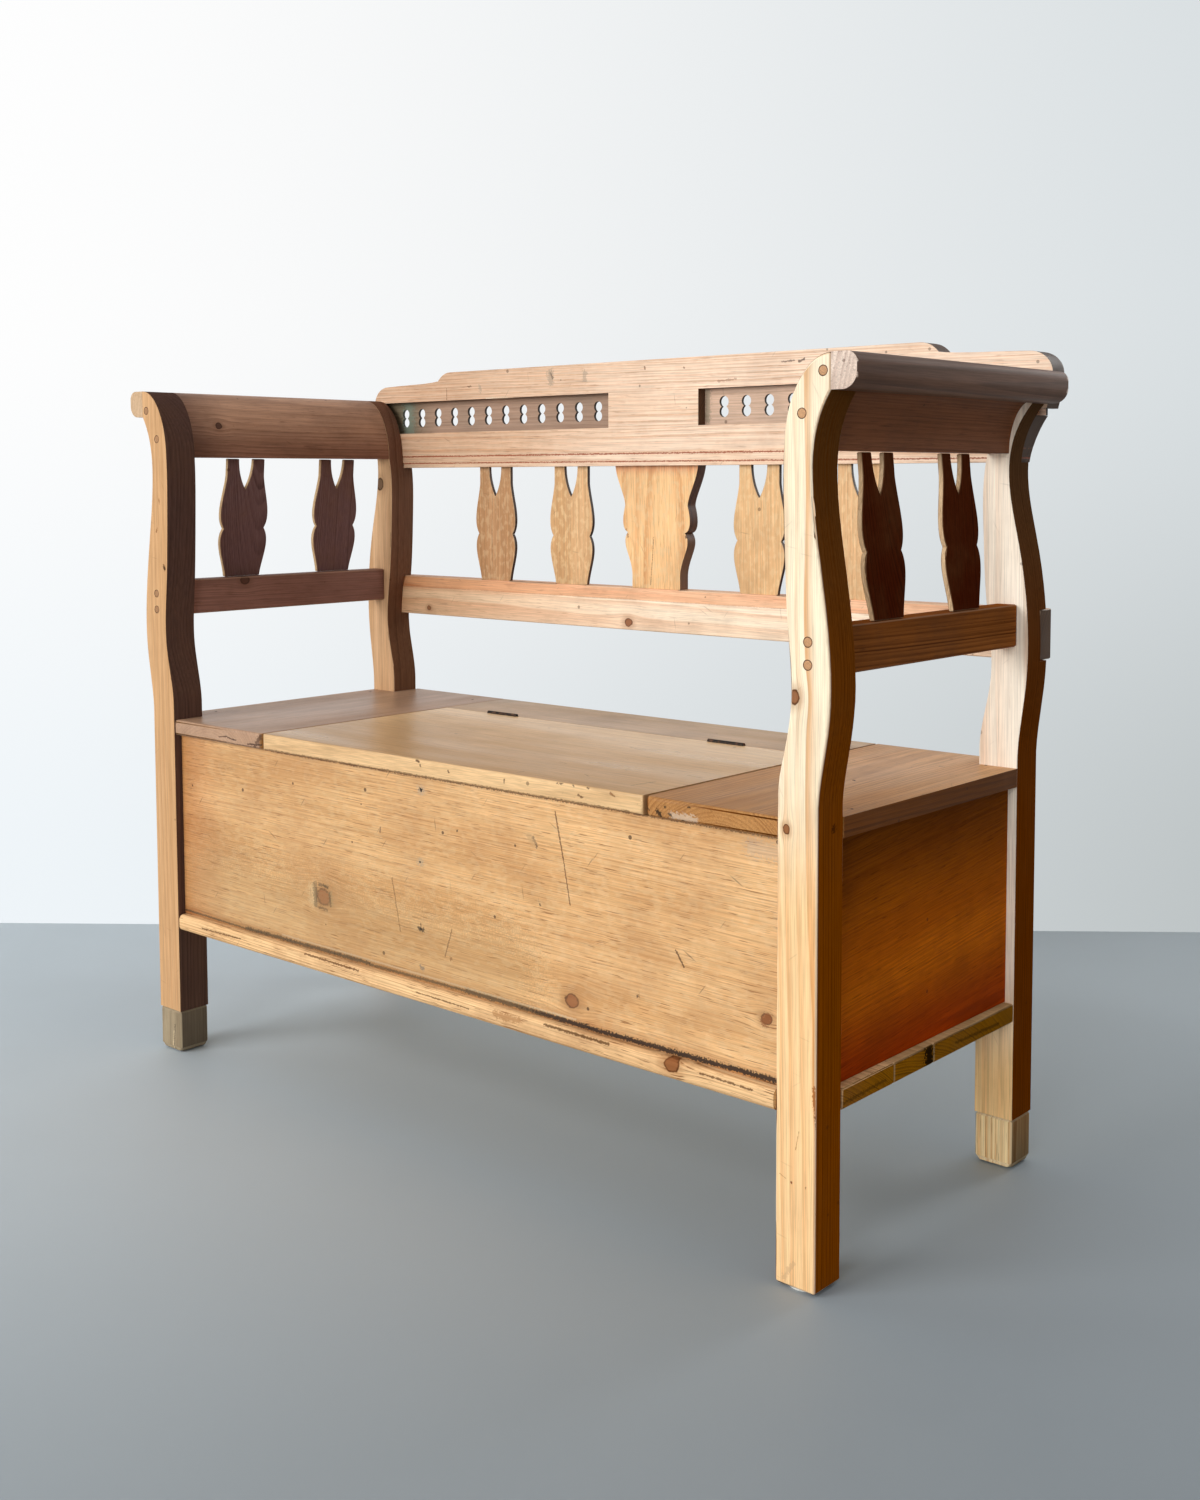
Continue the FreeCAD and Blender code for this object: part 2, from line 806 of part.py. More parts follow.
def make_crest():
    body = new_body("crest_board", y=crest_y)
    sketch = new_sketch(body, "XZ_Plane", "outline")
    right_start, right_steps = crest_side(RIGHT)
    left_start, left_steps = crest_side(LEFT)
    points = [left_start] + [point for step in left_steps for point in step]
    end = len(points) - 1
    back = [[(-points[end][0], points[end][1])]]
    for step in reversed(left_steps):
        count = len(step)
        back.append([(-x, z) for x, z in points[end - count:end][::-1]])
        end -= count
    outline(sketch, right_start, right_steps + back)
    pad(body, sketch, d.crest_thick, backwards=True)
    slots = new_sketch(body, "XY_Plane", "splat_slots", offset=crest_bottom)
    back_face = d.splat_setback + d.splat_thick
    for x in (-d.outer_splat_x, -d.inner_splat_x, d.inner_splat_x, d.outer_splat_x):
        for left, right in ear_stubs():
            rectangle(slots, x + left, x + right, d.splat_setback, back_face)
    for left, right in centre_stubs():
        deep = d.splat_setback + d.centre_splat_thick
        rectangle(slots, d.centre_shift + left, d.centre_shift + right, d.splat_setback, deep)
    pocket(body, slots, d.tenon_depth, "slots", backwards=True)
    holes = new_sketch(body, "XZ_Plane", "peg_holes", offset=-d.crest_thick)
    for side in (LEFT, RIGHT):
        circle(holes, (side * crest_peg[0], crest_peg[1]), d.peg_diameter / 2 + d.dowel_play)
    pocket(body, holes, d.crest_thick, "peg_bores", backwards=True)
    return body


def make_fret(label, side):
    # A thin strip behind each window, pierced by a row of figure-of-eight holes.
    block = block_right if side == RIGHT else block_left
    end = side * hook_inner
    body = new_body(label, y=crest_y + d.fret_setback)
    sketch = new_sketch(body, "XZ_Plane", "outline")
    rectangle(sketch, block, end, window_bottom, window_top)
    pad(body, sketch, d.fret_thick, backwards=True)
    radius = d.fret_hole_diameter / 2
    centre_x = block + side * d.fret_margin
    half_drop = d.fret_hole_spacing / 2
    middle = window_bottom + d.window_height / 2
    reach = (radius * radius - half_drop * half_drop).value ** 0.5
    throat = Size(reach, f"sqrt({(radius * radius - half_drop * half_drop).formula})")
    eight = new_sketch(body, "XZ_Plane", "figure_eight")
    add_eight(eight, centre_x, middle, radius, half_drop, throat)
    holes = pocket(body, eight, d.fret_thick, "hole")
    row = body.newObject("PartDesign::LinearPattern", f"{body.Name}_row")
    row.Originals = [holes]
    row.Direction = (eight, ["H_Axis"])
    row.Reversed = side == LEFT
    row.Occurrences = FRET_HOLES
    bind(row, "Length", d.fret_pitch * (FRET_HOLES - 1))
    body.Tip = row
    document.recompute()
    return body


def add_eight(sketch, x, z, radius, half_drop, throat):
    # Two round lobes, one above the other, that meet at a narrow throat.
    edges = []
    for level, first, second in ((1, throat, -throat), (-1, -throat, throat)):
        centre = Vector(x.value, (z + level * half_drop).value, 0)
        start = math.atan2(-level * half_drop.value, first.value)
        finish = math.atan2(-level * half_drop.value, second.value)
        if finish < start:
            finish += 2 * math.pi
        shape = Part.Circle(centre, Vector(0, 0, 1), radius.value)
        arc = sketch.addGeometry(Part.ArcOfCircle(shape, start, finish), False)
        pin_point(sketch, arc, 3, (x, z + level * half_drop))
        edges.append(arc)
    upper, lower = edges
    sketch.addConstraint(Sketcher.Constraint("Coincident", upper, 2, lower, 1))
    sketch.addConstraint(Sketcher.Constraint("Coincident", lower, 2, upper, 1))
    index = sketch.addConstraint(Sketcher.Constraint("Radius", upper, radius.value))
    bind(sketch, f"Constraints[{index}]", radius)
    sketch.addConstraint(Sketcher.Constraint("Equal", upper, lower))


def make_back_rail():
    half_length = frame_half + d.back_rail_overrun
    body = new_body("lower_back_rail", x=-half_length)
    sketch = new_sketch(body, "YZ_Plane", "section")
    back = back_rail_y + d.back_rail_thick
    outline(
        sketch,
        (back_rail_y, back_rail_bottom),
        [
            [(back, back_rail_bottom)],
            [(back, back_rail_top)],
            [(back_rail_y + d.bevel_depth, back_rail_top)],
            [(back_rail_y, back_rail_top - d.bevel_height)],
        ],
    )
    pad(body, sketch, half_length * 2)
    slots = new_sketch(body, "XY_Plane", "splat_slots", offset=back_rail_top)
    inset = d.splat_foot_half - d.tenon_shoulder
    for x in (-d.outer_splat_x, -d.inner_splat_x, d.inner_splat_x, d.outer_splat_x):
        middle = half_length + x
        rectangle(slots, middle - inset, middle + inset, splat_y, splat_y + d.splat_thick)
    wide = d.centre_foot_half - d.tenon_shoulder
    middle = half_length + d.centre_shift
    rectangle(slots, middle - wide, middle + wide, splat_y, splat_y + d.centre_splat_thick)
    pocket(body, slots, d.tenon_depth, "slots")
    holes = new_sketch(body, "XZ_Plane", "peg_holes", offset=-back)
    for side in (LEFT, RIGHT):
        for x, z in rail_pegs:
            place = (half_length + side * x, z)
            circle(holes, place, d.peg_diameter / 2 + d.dowel_play)
    pocket(body, holes, d.back_rail_thick, "peg_bores", backwards=True)
    return body


def make_back_pegs():
    # Pegs driven from behind through the crest and the rail into the rear posts.
    body = new_body("back_pegs")
    crest_back = crest_y + d.crest_thick
    rail_back = back_rail_y + d.back_rail_thick
    for name, places, back in (("crest", [crest_peg], crest_back), ("rail", rail_pegs, rail_back)):
        sketch = new_sketch(body, "XZ_Plane", f"{name}_pegs", offset=-back)
        for side in (LEFT, RIGHT):
            for x, z in places:
                circle(sketch, (side * x, z), d.peg_diameter / 2)
        pad(body, sketch, back - peg_tip_y, f"{name}_pad")
    return body


def make_panel(label, left, right, front, thick):
    body = new_body(label, y=front)
    sketch = new_sketch(body, "XZ_Plane", "outline")
    rectangle(sketch, left, right, floor_top, seat_under)
    pad(body, sketch, thick, backwards=True)
    return body


def make_floor_board(label, front, back):
    # The outer boards stop at the posts and run past them between front and rear.
    body = new_body(label, z=d.floor_level)
    sketch = new_sketch(body, "XY_Plane", "outline")
    if label == "floor_front_board":
        notch = d.post_depth
        points = [
            (post_inner, front), (post_inner, notch), (frame_half, notch), (frame_half, back),
        ]
    elif label == "floor_rear_board":
        notch = rear_post_y
        points = [
            (frame_half, front), (frame_half, notch), (post_inner, notch), (post_inner, back),
        ]
    else:
        points = [(frame_half, front), (frame_half, back)]
    others = [(-x, y) for x, y in reversed(points)]
    outline(sketch, points[0], [[point] for point in points[1:] + others])
    pad(body, sketch, d.floor_thick)
    if label == "floor_front_board":
        dress(
            body, "Fillet", d.nosing_round,
            lambda edge: at(edge, y=0) and edge.BoundBox.XLength > LONG_EDGE, "nosing",
        )
    return body


def make_seat_board(label, side, inner):
    # An end board of the seat, notched round both posts.
    body = new_body(label, z=seat_under)
    sketch = new_sketch(body, "XY_Plane", "outline")
    front = d.seat_front_setback
    outline(
        sketch,
        (inner, front),
        [
            [(side * post_inner, front)],
            [(side * post_inner, d.post_depth)],
            [(side * frame_half, d.post_depth)],
            [(side * frame_half, rear_post_y)],
            [(side * post_inner, rear_post_y)],
            [(side * post_inner, seat_back)],
            [(inner, seat_back)],
        ],
    )
    pad(body, sketch, d.seat_thick)
    corner = (inner.value, front.value)
    dress(
        body, "Fillet", d.corner_round,
        lambda edge: at(edge, x=corner[0], y=corner[1]), "worn_corner",
    )
    dress(
        body, "Fillet", d.edge_round,
        lambda edge: at(edge, y=corner[1]) and edge.BoundBox.XLength > LONG_EDGE, "worn_front",
    )
    return body


def hinge_middles():
    return (
        ("left", lid_left + d.left_hinge_inset),
        ("right", lid_right - d.right_hinge_inset),
    )


def cut_hinge_seats(body, plate_front, plate_back):
    # Room for each hinge's knuckles along the edge, and a shallow bed for its leaf.
    length = d.hinge_length + 2 * d.knuckle_clearance
    for name, middle in hinge_middles():
        start = middle - length / 2
        groove = new_sketch(body, "YZ_Plane", f"{name}_knuckle_groove", offset=start)
        circle(groove, (hinge_y, hinge_z - body_lift(body)), d.knuckle_radius + d.knuckle_clearance)
        pocket(body, groove, length, f"{name}_groove_cut", backwards=True)
        bed = new_sketch(body, "YZ_Plane", f"{name}_leaf_bed", offset=middle - d.hinge_length / 2)
        top = hinge_z - body_lift(body)
        low = top - d.knuckle_radius - d.knuckle_gap - d.leaf_height
        rectangle(bed, plate_front, plate_back, low, top)
        pocket(body, bed, d.hinge_length, f"{name}_bed_cut", backwards=True)


def body_lift(body):
    return seat_under + d.lid_clearance if body.Label == "lid_board" else seat_under


def make_rear_strip():
    body = new_body("rear_seat_strip", z=seat_under)
    sketch = new_sketch(body, "XY_Plane", "outline")
    left = lid_left - d.side_gap
    right = lid_right + d.side_gap
    front = lid_back + d.hinge_gap
    rectangle(sketch, left, right, front, seat_back)
    pad(body, sketch, d.seat_thick)
    cut_hinge_seats(body, front - OVERCUT, hinge_y + d.leaf_proud + d.leaf_thick)
    return body


def make_lid():
    body = new_body("lid_board", z=seat_under + d.lid_clearance)
    sketch = new_sketch(body, "XY_Plane", "outline")
    rectangle(sketch, lid_left, lid_right, d.seat_front_setback, lid_back)
    pad(body, sketch, d.seat_thick - d.lid_clearance)
    front = d.seat_front_setback.value
    dress(body, "Fillet", d.edge_round, lambda edge: at(edge, y=front), "worn_front")
    cut_hinge_seats(body, hinge_y - d.leaf_proud - d.leaf_thick, lid_back + OVERCUT)
    return body


def make_batten(label, left):
    # A cross batten under the lid; its ends are bevelled to clear the chest.
    top = seat_under + d.lid_clearance
    body = new_body(label, x=left)
    sketch = new_sketch(body, "YZ_Plane", "section")
    front = d.panel_setback + d.panel_thick + d.batten_end_gap
    back = lid_back - d.batten_end_gap
    slope = d.batten_bevel
    outline(
        sketch,
        (front, top),
        [
            [(back, top)],
            [(back, top - d.batten_thick + slope)],
            [(back - slope, top - d.batten_thick)],
            [(front + slope, top - d.batten_thick)],
            [(front, top - d.batten_thick + slope)],
        ],
    )
    pad(body, sketch, d.batten_width)
    return body


def make_leaf(label, middle, fixed):
    # Half of a butt hinge: a flat leaf with its share of the three knuckles.
    start = middle - d.hinge_length / 2
    third = d.hinge_length / 3
    body = new_body(label, x=start, z=hinge_z)
    way = 1 if fixed else -1
    near = hinge_y + way * d.leaf_proud
    far = near + way * d.leaf_thick
    plate_top = -(d.knuckle_radius + d.knuckle_gap)
    plate = new_sketch(body, "YZ_Plane", "plate")
    rectangle(plate, near, far, plate_top - d.leaf_height, plate_top)
    pad(body, plate, d.hinge_length, "plate_pad")
    half_gap = d.knuckle_gap / 2
    if fixed:
        runs = [(as_size(0), third - half_gap), (third * 2 + half_gap, third - half_gap)]
    else:
        runs = [(third + half_gap, third - d.knuckle_gap)]
    for number, (offset, length) in enumerate(runs):
        web = new_sketch(body, "YZ_Plane", f"web{number}", offset=offset)
        rectangle(web, near, far, plate_top, as_size(0))
        pad(body, web, length, f"web_pad{number}")
        barrel = new_sketch(body, "YZ_Plane", f"barrel{number}", offset=offset)
        circle(barrel, (hinge_y, as_size(0)), d.knuckle_radius)
        pad(body, barrel, length, f"barrel_pad{number}")
    bore = new_sketch(body, "YZ_Plane", "bore")
    circle(bore, (hinge_y, as_size(0)), d.pin_radius + d.pin_clearance)
    pocket(body, bore, d.hinge_length, "bore_cut", backwards=True)
    return body


def make_pin(label, middle):
    body = new_body(label, x=middle - d.hinge_length / 2, z=hinge_z)
    sketch = new_sketch(body, "YZ_Plane", "section")
    circle(sketch, (hinge_y, as_size(0)), d.pin_radius)
    pad(body, sketch, d.hinge_length)
    return body


def build():
    parts = [
        make_post("front_left_post", LEFT, False, d.foot_block_height),
        make_post("front_right_post", RIGHT, False, d.glide_thick),
        make_post("rear_left_post", LEFT, True, as_size(0)),
        make_post("rear_right_post", RIGHT, True, d.foot_block_height),
        make_foot_block("front_left_foot_block", LEFT, False),
        make_foot_block("rear_right_foot_block", RIGHT, True),
        make_glide(),
    ]
    arm_splats = {
        LEFT: (d.left_arm_splat_front, d.left_arm_splat_rear, as_size(1)),
        RIGHT: (d.right_arm_splat_front, d.right_arm_splat_rear, d.right_arm_splat_share),
    }
    for side, word in ((LEFT, "left"), (RIGHT, "right")):
        front, rear, share = arm_splats[side]
        parts += [
            make_roll(f"{word}_arm_roll", side),
            make_arm_panel(f"{word}_arm_panel", side),
            make_arm_rail(f"{word}_arm_rail", side),
            make_arm_splat(f"{word}_arm_front_splat", side, front, share),
            make_arm_splat(f"{word}_arm_rear_splat", side, rear, share),
            make_arm_dowels(f"{word}_arm_dowels", side),
            make_fret(f"{word}_fret_strip", side),
        ]
    height = crest_bottom - back_rail_top
    small = splat_half(height)
    back_splats = (
        ("left_outer_back_splat", -d.outer_splat_x),
        ("left_inner_back_splat", -d.inner_splat_x),
        ("right_inner_back_splat", d.inner_splat_x),
        ("right_outer_back_splat", d.outer_splat_x),
    )
    for label, x in back_splats:
        parts.append(
            make_back_splat(label, x, small, d.splat_foot_half, ear_stubs, d.splat_thick)
        )
    parts.append(
        make_back_splat(
            "centre_back_splat", d.centre_shift, centre_half(height),
            d.centre_foot_half, centre_stubs, d.centre_splat_thick,
        )
    )
    parts += [make_crest(), make_back_rail(), make_back_pegs()]
    thick = d.panel_thick
    panel_face = d.panel_setback
    parts += [
        make_panel("front_panel", -post_inner, post_inner, panel_face, thick),
        make_panel(
            "back_panel", -post_inner, post_inner, d.frame_depth - panel_face - thick, thick
        ),
    ]
    side_length = rear_post_y - d.post_depth
    for side, word in ((LEFT, "left"), (RIGHT, "right")):
        outer = side * (frame_half - panel_face)
        inner = side * (frame_half - panel_face - thick)
        parts.append(
            make_panel(f"{word}_side_panel", inner, outer, d.post_depth, side_length)
        )
    first = d.front_floor_board
    second = first + d.middle_floor_board
    parts += [
        make_floor_board("floor_front_board", as_size(0), first),
        make_floor_board("floor_middle_board", first, second),
        make_floor_board("floor_rear_board", second, d.frame_depth),
        make_seat_board("left_seat_board", LEFT, lid_left - d.side_gap),
        make_seat_board("right_seat_board", RIGHT, lid_right + d.side_gap),
        make_rear_strip(),
        make_lid(),
        make_batten("left_lid_batten", lid_left + d.batten_inset),
        make_batten("right_lid_batten", lid_right - d.batten_inset - d.batten_width),
    ]
    for word, middle in hinge_middles():
        parts += [
            make_leaf(f"{word}_hinge_fixed_leaf", middle, True),
            make_leaf(f"{word}_hinge_lid_leaf", middle, False),
            make_pin(f"{word}_hinge_pin", middle),
        ]
    return parts


parts = build()
document.recompute()
for item in document.Objects:
    if "Invalid" in item.State or "Error" in item.State:
        raise RuntimeError(f"{item.Name} did not recompute")
os.makedirs("parts", exist_ok=True)
for part in parts:
    if part.Shape.isNull() or not part.Shape.isValid():
        raise RuntimeError(f"{part.Label} has no valid shape")
    part.Shape.exportStep(f"parts/{part.Label}.step")
    print(part.Label, len(part.Shape.Solids), round(part.Shape.Volume / 1000, 1), "cm3")
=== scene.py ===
import bpy
import bmesh
import json
import math
from mathutils import Matrix, Vector, noise

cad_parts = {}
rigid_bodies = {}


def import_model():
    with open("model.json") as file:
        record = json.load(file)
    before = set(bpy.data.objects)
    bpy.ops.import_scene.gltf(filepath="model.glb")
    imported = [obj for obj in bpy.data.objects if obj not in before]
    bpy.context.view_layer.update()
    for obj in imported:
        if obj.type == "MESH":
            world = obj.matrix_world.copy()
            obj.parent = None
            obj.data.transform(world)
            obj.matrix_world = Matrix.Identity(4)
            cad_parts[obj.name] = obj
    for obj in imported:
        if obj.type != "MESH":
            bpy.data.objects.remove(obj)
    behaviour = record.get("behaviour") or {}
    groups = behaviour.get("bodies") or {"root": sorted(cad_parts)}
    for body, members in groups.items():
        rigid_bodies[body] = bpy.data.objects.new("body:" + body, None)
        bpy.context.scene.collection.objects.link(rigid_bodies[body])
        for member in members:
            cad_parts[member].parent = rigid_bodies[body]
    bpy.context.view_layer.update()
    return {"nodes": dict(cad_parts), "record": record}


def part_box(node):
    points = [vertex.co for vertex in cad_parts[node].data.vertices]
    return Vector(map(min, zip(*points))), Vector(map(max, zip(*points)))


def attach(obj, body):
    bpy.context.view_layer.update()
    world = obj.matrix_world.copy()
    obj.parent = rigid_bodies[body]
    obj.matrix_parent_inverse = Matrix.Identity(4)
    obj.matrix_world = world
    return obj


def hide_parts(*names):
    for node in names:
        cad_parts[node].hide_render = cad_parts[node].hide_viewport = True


for stray in list(bpy.data.objects):
    bpy.data.objects.remove(stray)
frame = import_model()
scene = bpy.context.scene
print("frame loaded")


def tint(hexText):
    # a colour as it is seen on screen, turned into the linear values that nodes take
    parts = [int(hexText[i:i + 2], 16) / 255 for i in (1, 3, 5)]
    return tuple((c / 12.92 if c <= 0.04045 else ((c + 0.055) / 1.055) ** 2.4) for c in parts) + (1.0,)


def put(tree, kind, links=None, **settings):
    # a new node; each of its inputs takes a value or the output of another node
    node = tree.nodes.new(kind)
    for key, value in settings.items():
        setattr(node, key, value)
    for key, value in (links or {}).items():
        if isinstance(value, bpy.types.NodeSocket):
            tree.links.new(value, node.inputs[key])
        else:
            node.inputs[key].default_value = value
    return node


def math1(tree, operation, first, second=0.0, clamp=False):
    return put(tree, "ShaderNodeMath", {0: first, 1: second}, operation=operation, use_clamp=clamp).outputs[0]


def times(tree, first, second):
    return math1(tree, "MULTIPLY", first, second)


def vector1(tree, operation, first, second=(0, 0, 0), result="Vector"):
    return put(tree, "ShaderNodeVectorMath", {0: first, 1: second}, operation=operation).outputs[result]


def scaled(tree, vector, amount):
    return put(tree, "ShaderNodeVectorMath", {0: vector, "Scale": amount}, operation="SCALE").outputs[0]


def rangeOf(tree, value, low, high, toLow=0.0, toHigh=1.0):
    links = {"Value": value, "From Min": low, "From Max": high, "To Min": toLow, "To Max": toHigh}
    return put(tree, "ShaderNodeMapRange", links, interpolation_type="SMOOTHSTEP").outputs["Result"]


def noiseOf(tree, place, stretch, detail=2.0, result="Fac"):
    links = {"Vector": vector1(tree, "MULTIPLY", place, stretch), "Scale": 1.0, "Detail": detail}
    return put(tree, "ShaderNodeTexNoise", links).outputs[result]


def cloudOf(tree, place, scale, detail, rough=0.5):
    links = {"Vector": place, "Scale": scale, "Detail": detail, "Roughness": rough}
    return put(tree, "ShaderNodeTexNoise", links).outputs["Fac"]


def splitUp(tree, vector):
    return put(tree, "ShaderNodeSeparateXYZ", {0: vector}).outputs


def strongest(tree, values):
    total = values[0]
    for value in values[1:]:
        total = math1(tree, "MAXIMUM", total, value)
    return total


def mixColour(tree, factor, first, second, blend="MIX"):
    links = {0: factor, 6: first, 7: second}
    return put(tree, "ShaderNodeMix", links, data_type="RGBA", blend_type=blend).outputs[2]


def newGroup(name, inputs, outputs):
    group = bpy.data.node_groups.new(name, "ShaderNodeTree")
    for socketName, kind in inputs:
        group.interface.new_socket(socketName, in_out="INPUT", socket_type="NodeSocket" + kind)
    for socketName, kind in outputs:
        group.interface.new_socket(socketName, in_out="OUTPUT", socket_type="NodeSocket" + kind)
    return group, group.nodes.new("NodeGroupInput").outputs, group.nodes.new("NodeGroupOutput").inputs


def useGroup(tree, group, links):
    return put(tree, "ShaderNodeGroup", links, node_tree=group).outputs


def newMaterial(name):
    material = bpy.data.materials.new(name)
    material.use_nodes = True
    material.node_tree.nodes.clear()
    return material, material.node_tree


def finish(tree, shader):
    tree.links.new(shader, put(tree, "ShaderNodeOutputMaterial").inputs[0])


def makePineRings():
    # growth rings of a log that lies along x, so that every face of a board shows its own cut
    group, given, out = newGroup(
        "pine rings",
        [("Place", "Vector"), ("Ring Width", "Float"), ("Wander", "Float")],
        [("Late Wood", "Float"), ("Fibre", "Float"), ("Tone", "Float"), ("Dash", "Float")],
    )
    # the log isn't quite straight
    place = given["Place"]
    slow = noiseOf(group, place, (2.4, 11, 11), result="Color")
    shift = scaled(group, vector1(group, "SUBTRACT", slow, (0.5, 0.5, 0.5)), given["Wander"])
    section = vector1(group, "MULTIPLY", vector1(group, "ADD", place, shift), (0.0, 1.0, 1.0))
    radius = vector1(group, "LENGTH", section, result="Value")
    # rings are counted outwards, some years wider than others
    count = math1(group, "DIVIDE", radius, given["Ring Width"])
    uneven = put(group, "ShaderNodeTexNoise", {"W": count, "Scale": 0.23, "Detail": 1.0}, noise_dimensions="1D")
    count = math1(group, "ADD", count, times(group, uneven.outputs["Fac"], 3.0))
    # each darkens slowly to its late wood, then ends at once
    part = math1(group, "FRACT", count)
    rise = rangeOf(group, part, 0.25, 0.86)
    fall = rangeOf(group, part, 0.92, 1.0, 1.0, 0.0)
    year = put(group, "ShaderNodeTexWhiteNoise", {"W": math1(group, "FLOOR", count)}, noise_dimensions="1D")
    ring = times(group, times(group, rise, fall), rangeOf(group, year.outputs["Value"], 0.0, 1.0, 0.4, 1.0))
    patchy = noiseOf(group, place, (5, 30, 30))
    group.links.new(times(group, ring, rangeOf(group, patchy, 0.3, 0.6, 0.55, 1.0)), out["Late Wood"])
    # fine fibres, broad changes of tone, and the short dark dashes of resin and pores
    group.links.new(noiseOf(group, place, (14, 900, 900), 3.0), out["Fibre"])
    group.links.new(noiseOf(group, place, (2.1, 17, 17), 4.0), out["Tone"])
    group.links.new(rangeOf(group, noiseOf(group, place, (34, 760, 760), 1.0), 0.63, 0.72), out["Dash"])
    return group


def addSquares(tree, first, second):
    return math1(tree, "ADD", math1(tree, "POWER", first, 2.0), math1(tree, "POWER", second, 2.0))


def makeKnot():
    # a branch through the board: the rings bow round it, and its own end is dark
    group, given, out = newGroup(
        "knot",
        [("Place", "Vector"), ("Centre", "Vector"), ("Radius", "Float")],
        [("Place", "Vector"), ("Core", "Float"), ("Rim", "Float"), ("Halo", "Float")],
    )
    away = splitUp(group, vector1(group, "SUBTRACT", given["Place"], given["Centre"]))
    along = math1(group, "DIVIDE", away["X"], given["Radius"])
    across = math1(group, "DIVIDE", away["Y"], given["Radius"])
    square = addSquares(group, times(group, along, 0.8), across)
    wobble = times(group, math1(group, "SUBTRACT", cloudOf(group, given["Place"], 160.0, 2.0), 0.5), 0.6)
    distance = math1(group, "ADD", math1(group, "SQRT", square), wobble)
    core = rangeOf(group, distance, 0.9, 1.1, 1.0, 0.0)
    group.links.new(core, out["Core"])
    group.links.new(times(group, core, rangeOf(group, distance, 0.68, 0.95)), out["Rim"])
    group.links.new(rangeOf(group, distance, 0.9, 2.6, 1.0, 0.0), out["Halo"])
    # the nearer the knot, the more the rings are pushed aside
    reach = addSquares(group, times(group, along, 0.28), times(group, across, 0.45))
    bow = times(group, math1(group, "EXPONENT", times(group, reach, -1.0)), -0.7)
    shift = put(group, "ShaderNodeCombineXYZ", {"Y": times(group, away["Y"], bow)}).outputs[0]
    group.links.new(vector1(group, "ADD", given["Place"], shift), out["Place"])
    return group


def makeStroke():
    # one mark: a scratch, a crack, a dark line of painted shade in a gap or under an edge or, when its ends meet, a
    # nail hole or a stain
    group, given, out = newGroup(
        "stroke",
        [("Place", "Vector"), ("Ragged", "Float"), ("Start", "Vector"), ("Run", "Vector"), ("Width", "Float")],
        [("Mark", "Float")],
    )
    flat = vector1(group, "MULTIPLY", vector1(group, "SUBTRACT", given["Place"], given["Start"]), (1, 1, 0))
    along = vector1(group, "DOT_PRODUCT", flat, given["Run"], result="Value")
    length = vector1(group, "DOT_PRODUCT", given["Run"], given["Run"], result="Value")
    part = math1(group, "DIVIDE", along, length, clamp=True)
    nearest = scaled(group, given["Run"], part)
    gap = vector1(group, "LENGTH", vector1(group, "SUBTRACT", flat, nearest), result="Value")
    share = math1(group, "DIVIDE", gap, times(group, given["Width"], given["Ragged"]))
    group.links.new(rangeOf(group, share, 0.6, 1.15, 1.0, 0.0), out["Mark"])
    return group


def makeKnocks():
    # years of use: short scratches, small dings and blotches of grime
    group, given, out = newGroup(
        "knocks",
        [("Place", "Vector"), ("Scratches", "Float"), ("Dings", "Float")],
        [("Scratch", "Float"), ("Ding", "Float"), ("Grime", "Float")],
    )
    lines = []
    for turn, stretch in ((0.5, (9, 95, 95)), (-0.9, (12, 130, 130)), (1.4, (10, 110, 110))):
        links = {"Vector": given["Place"], "Angle": turn}
        turned = put(group, "ShaderNodeVectorRotate", links, rotation_type="Z_AXIS").outputs[0]
        links = {"Vector": vector1(group, "MULTIPLY", turned, stretch), "Scale": 1.0}
        cells = put(group, "ShaderNodeTexVoronoi", links).outputs
        chance = put(group, "ShaderNodeSeparateColor", {0: cells["Color"]}).outputs[0]
        line = rangeOf(group, cells["Distance"], 0.03, 0.12, 1.0, 0.0)
        lines.append(times(group, line, rangeOf(group, chance, 0.72, 0.75)))
    group.links.new(times(group, strongest(group, lines), given["Scratches"]), out["Scratch"])
    spots = put(group, "ShaderNodeTexVoronoi", {"Vector": given["Place"], "Scale": 34.0})
    luck = put(group, "ShaderNodeSeparateColor", {0: spots.outputs["Color"]}).outputs
    size = rangeOf(group, luck[1], 0.0, 1.0, 0.03, 0.09)
    inside = math1(group, "LESS_THAN", spots.outputs["Distance"], size)
    ding = times(group, inside, math1(group, "GREATER_THAN", luck[0], 0.7))
    group.links.new(times(group, ding, given["Dings"]), out["Ding"])
    cloud = cloudOf(group, given["Place"], 7.0, 5.0, 0.65)
    group.links.new(rangeOf(group, cloud, 0.42, 0.72), out["Grime"])
    return group


pineRings = makePineRings()
knotGroup = makeKnot()
strokeGroup = makeStroke()
knocks = makeKnocks()
print("effects ready")

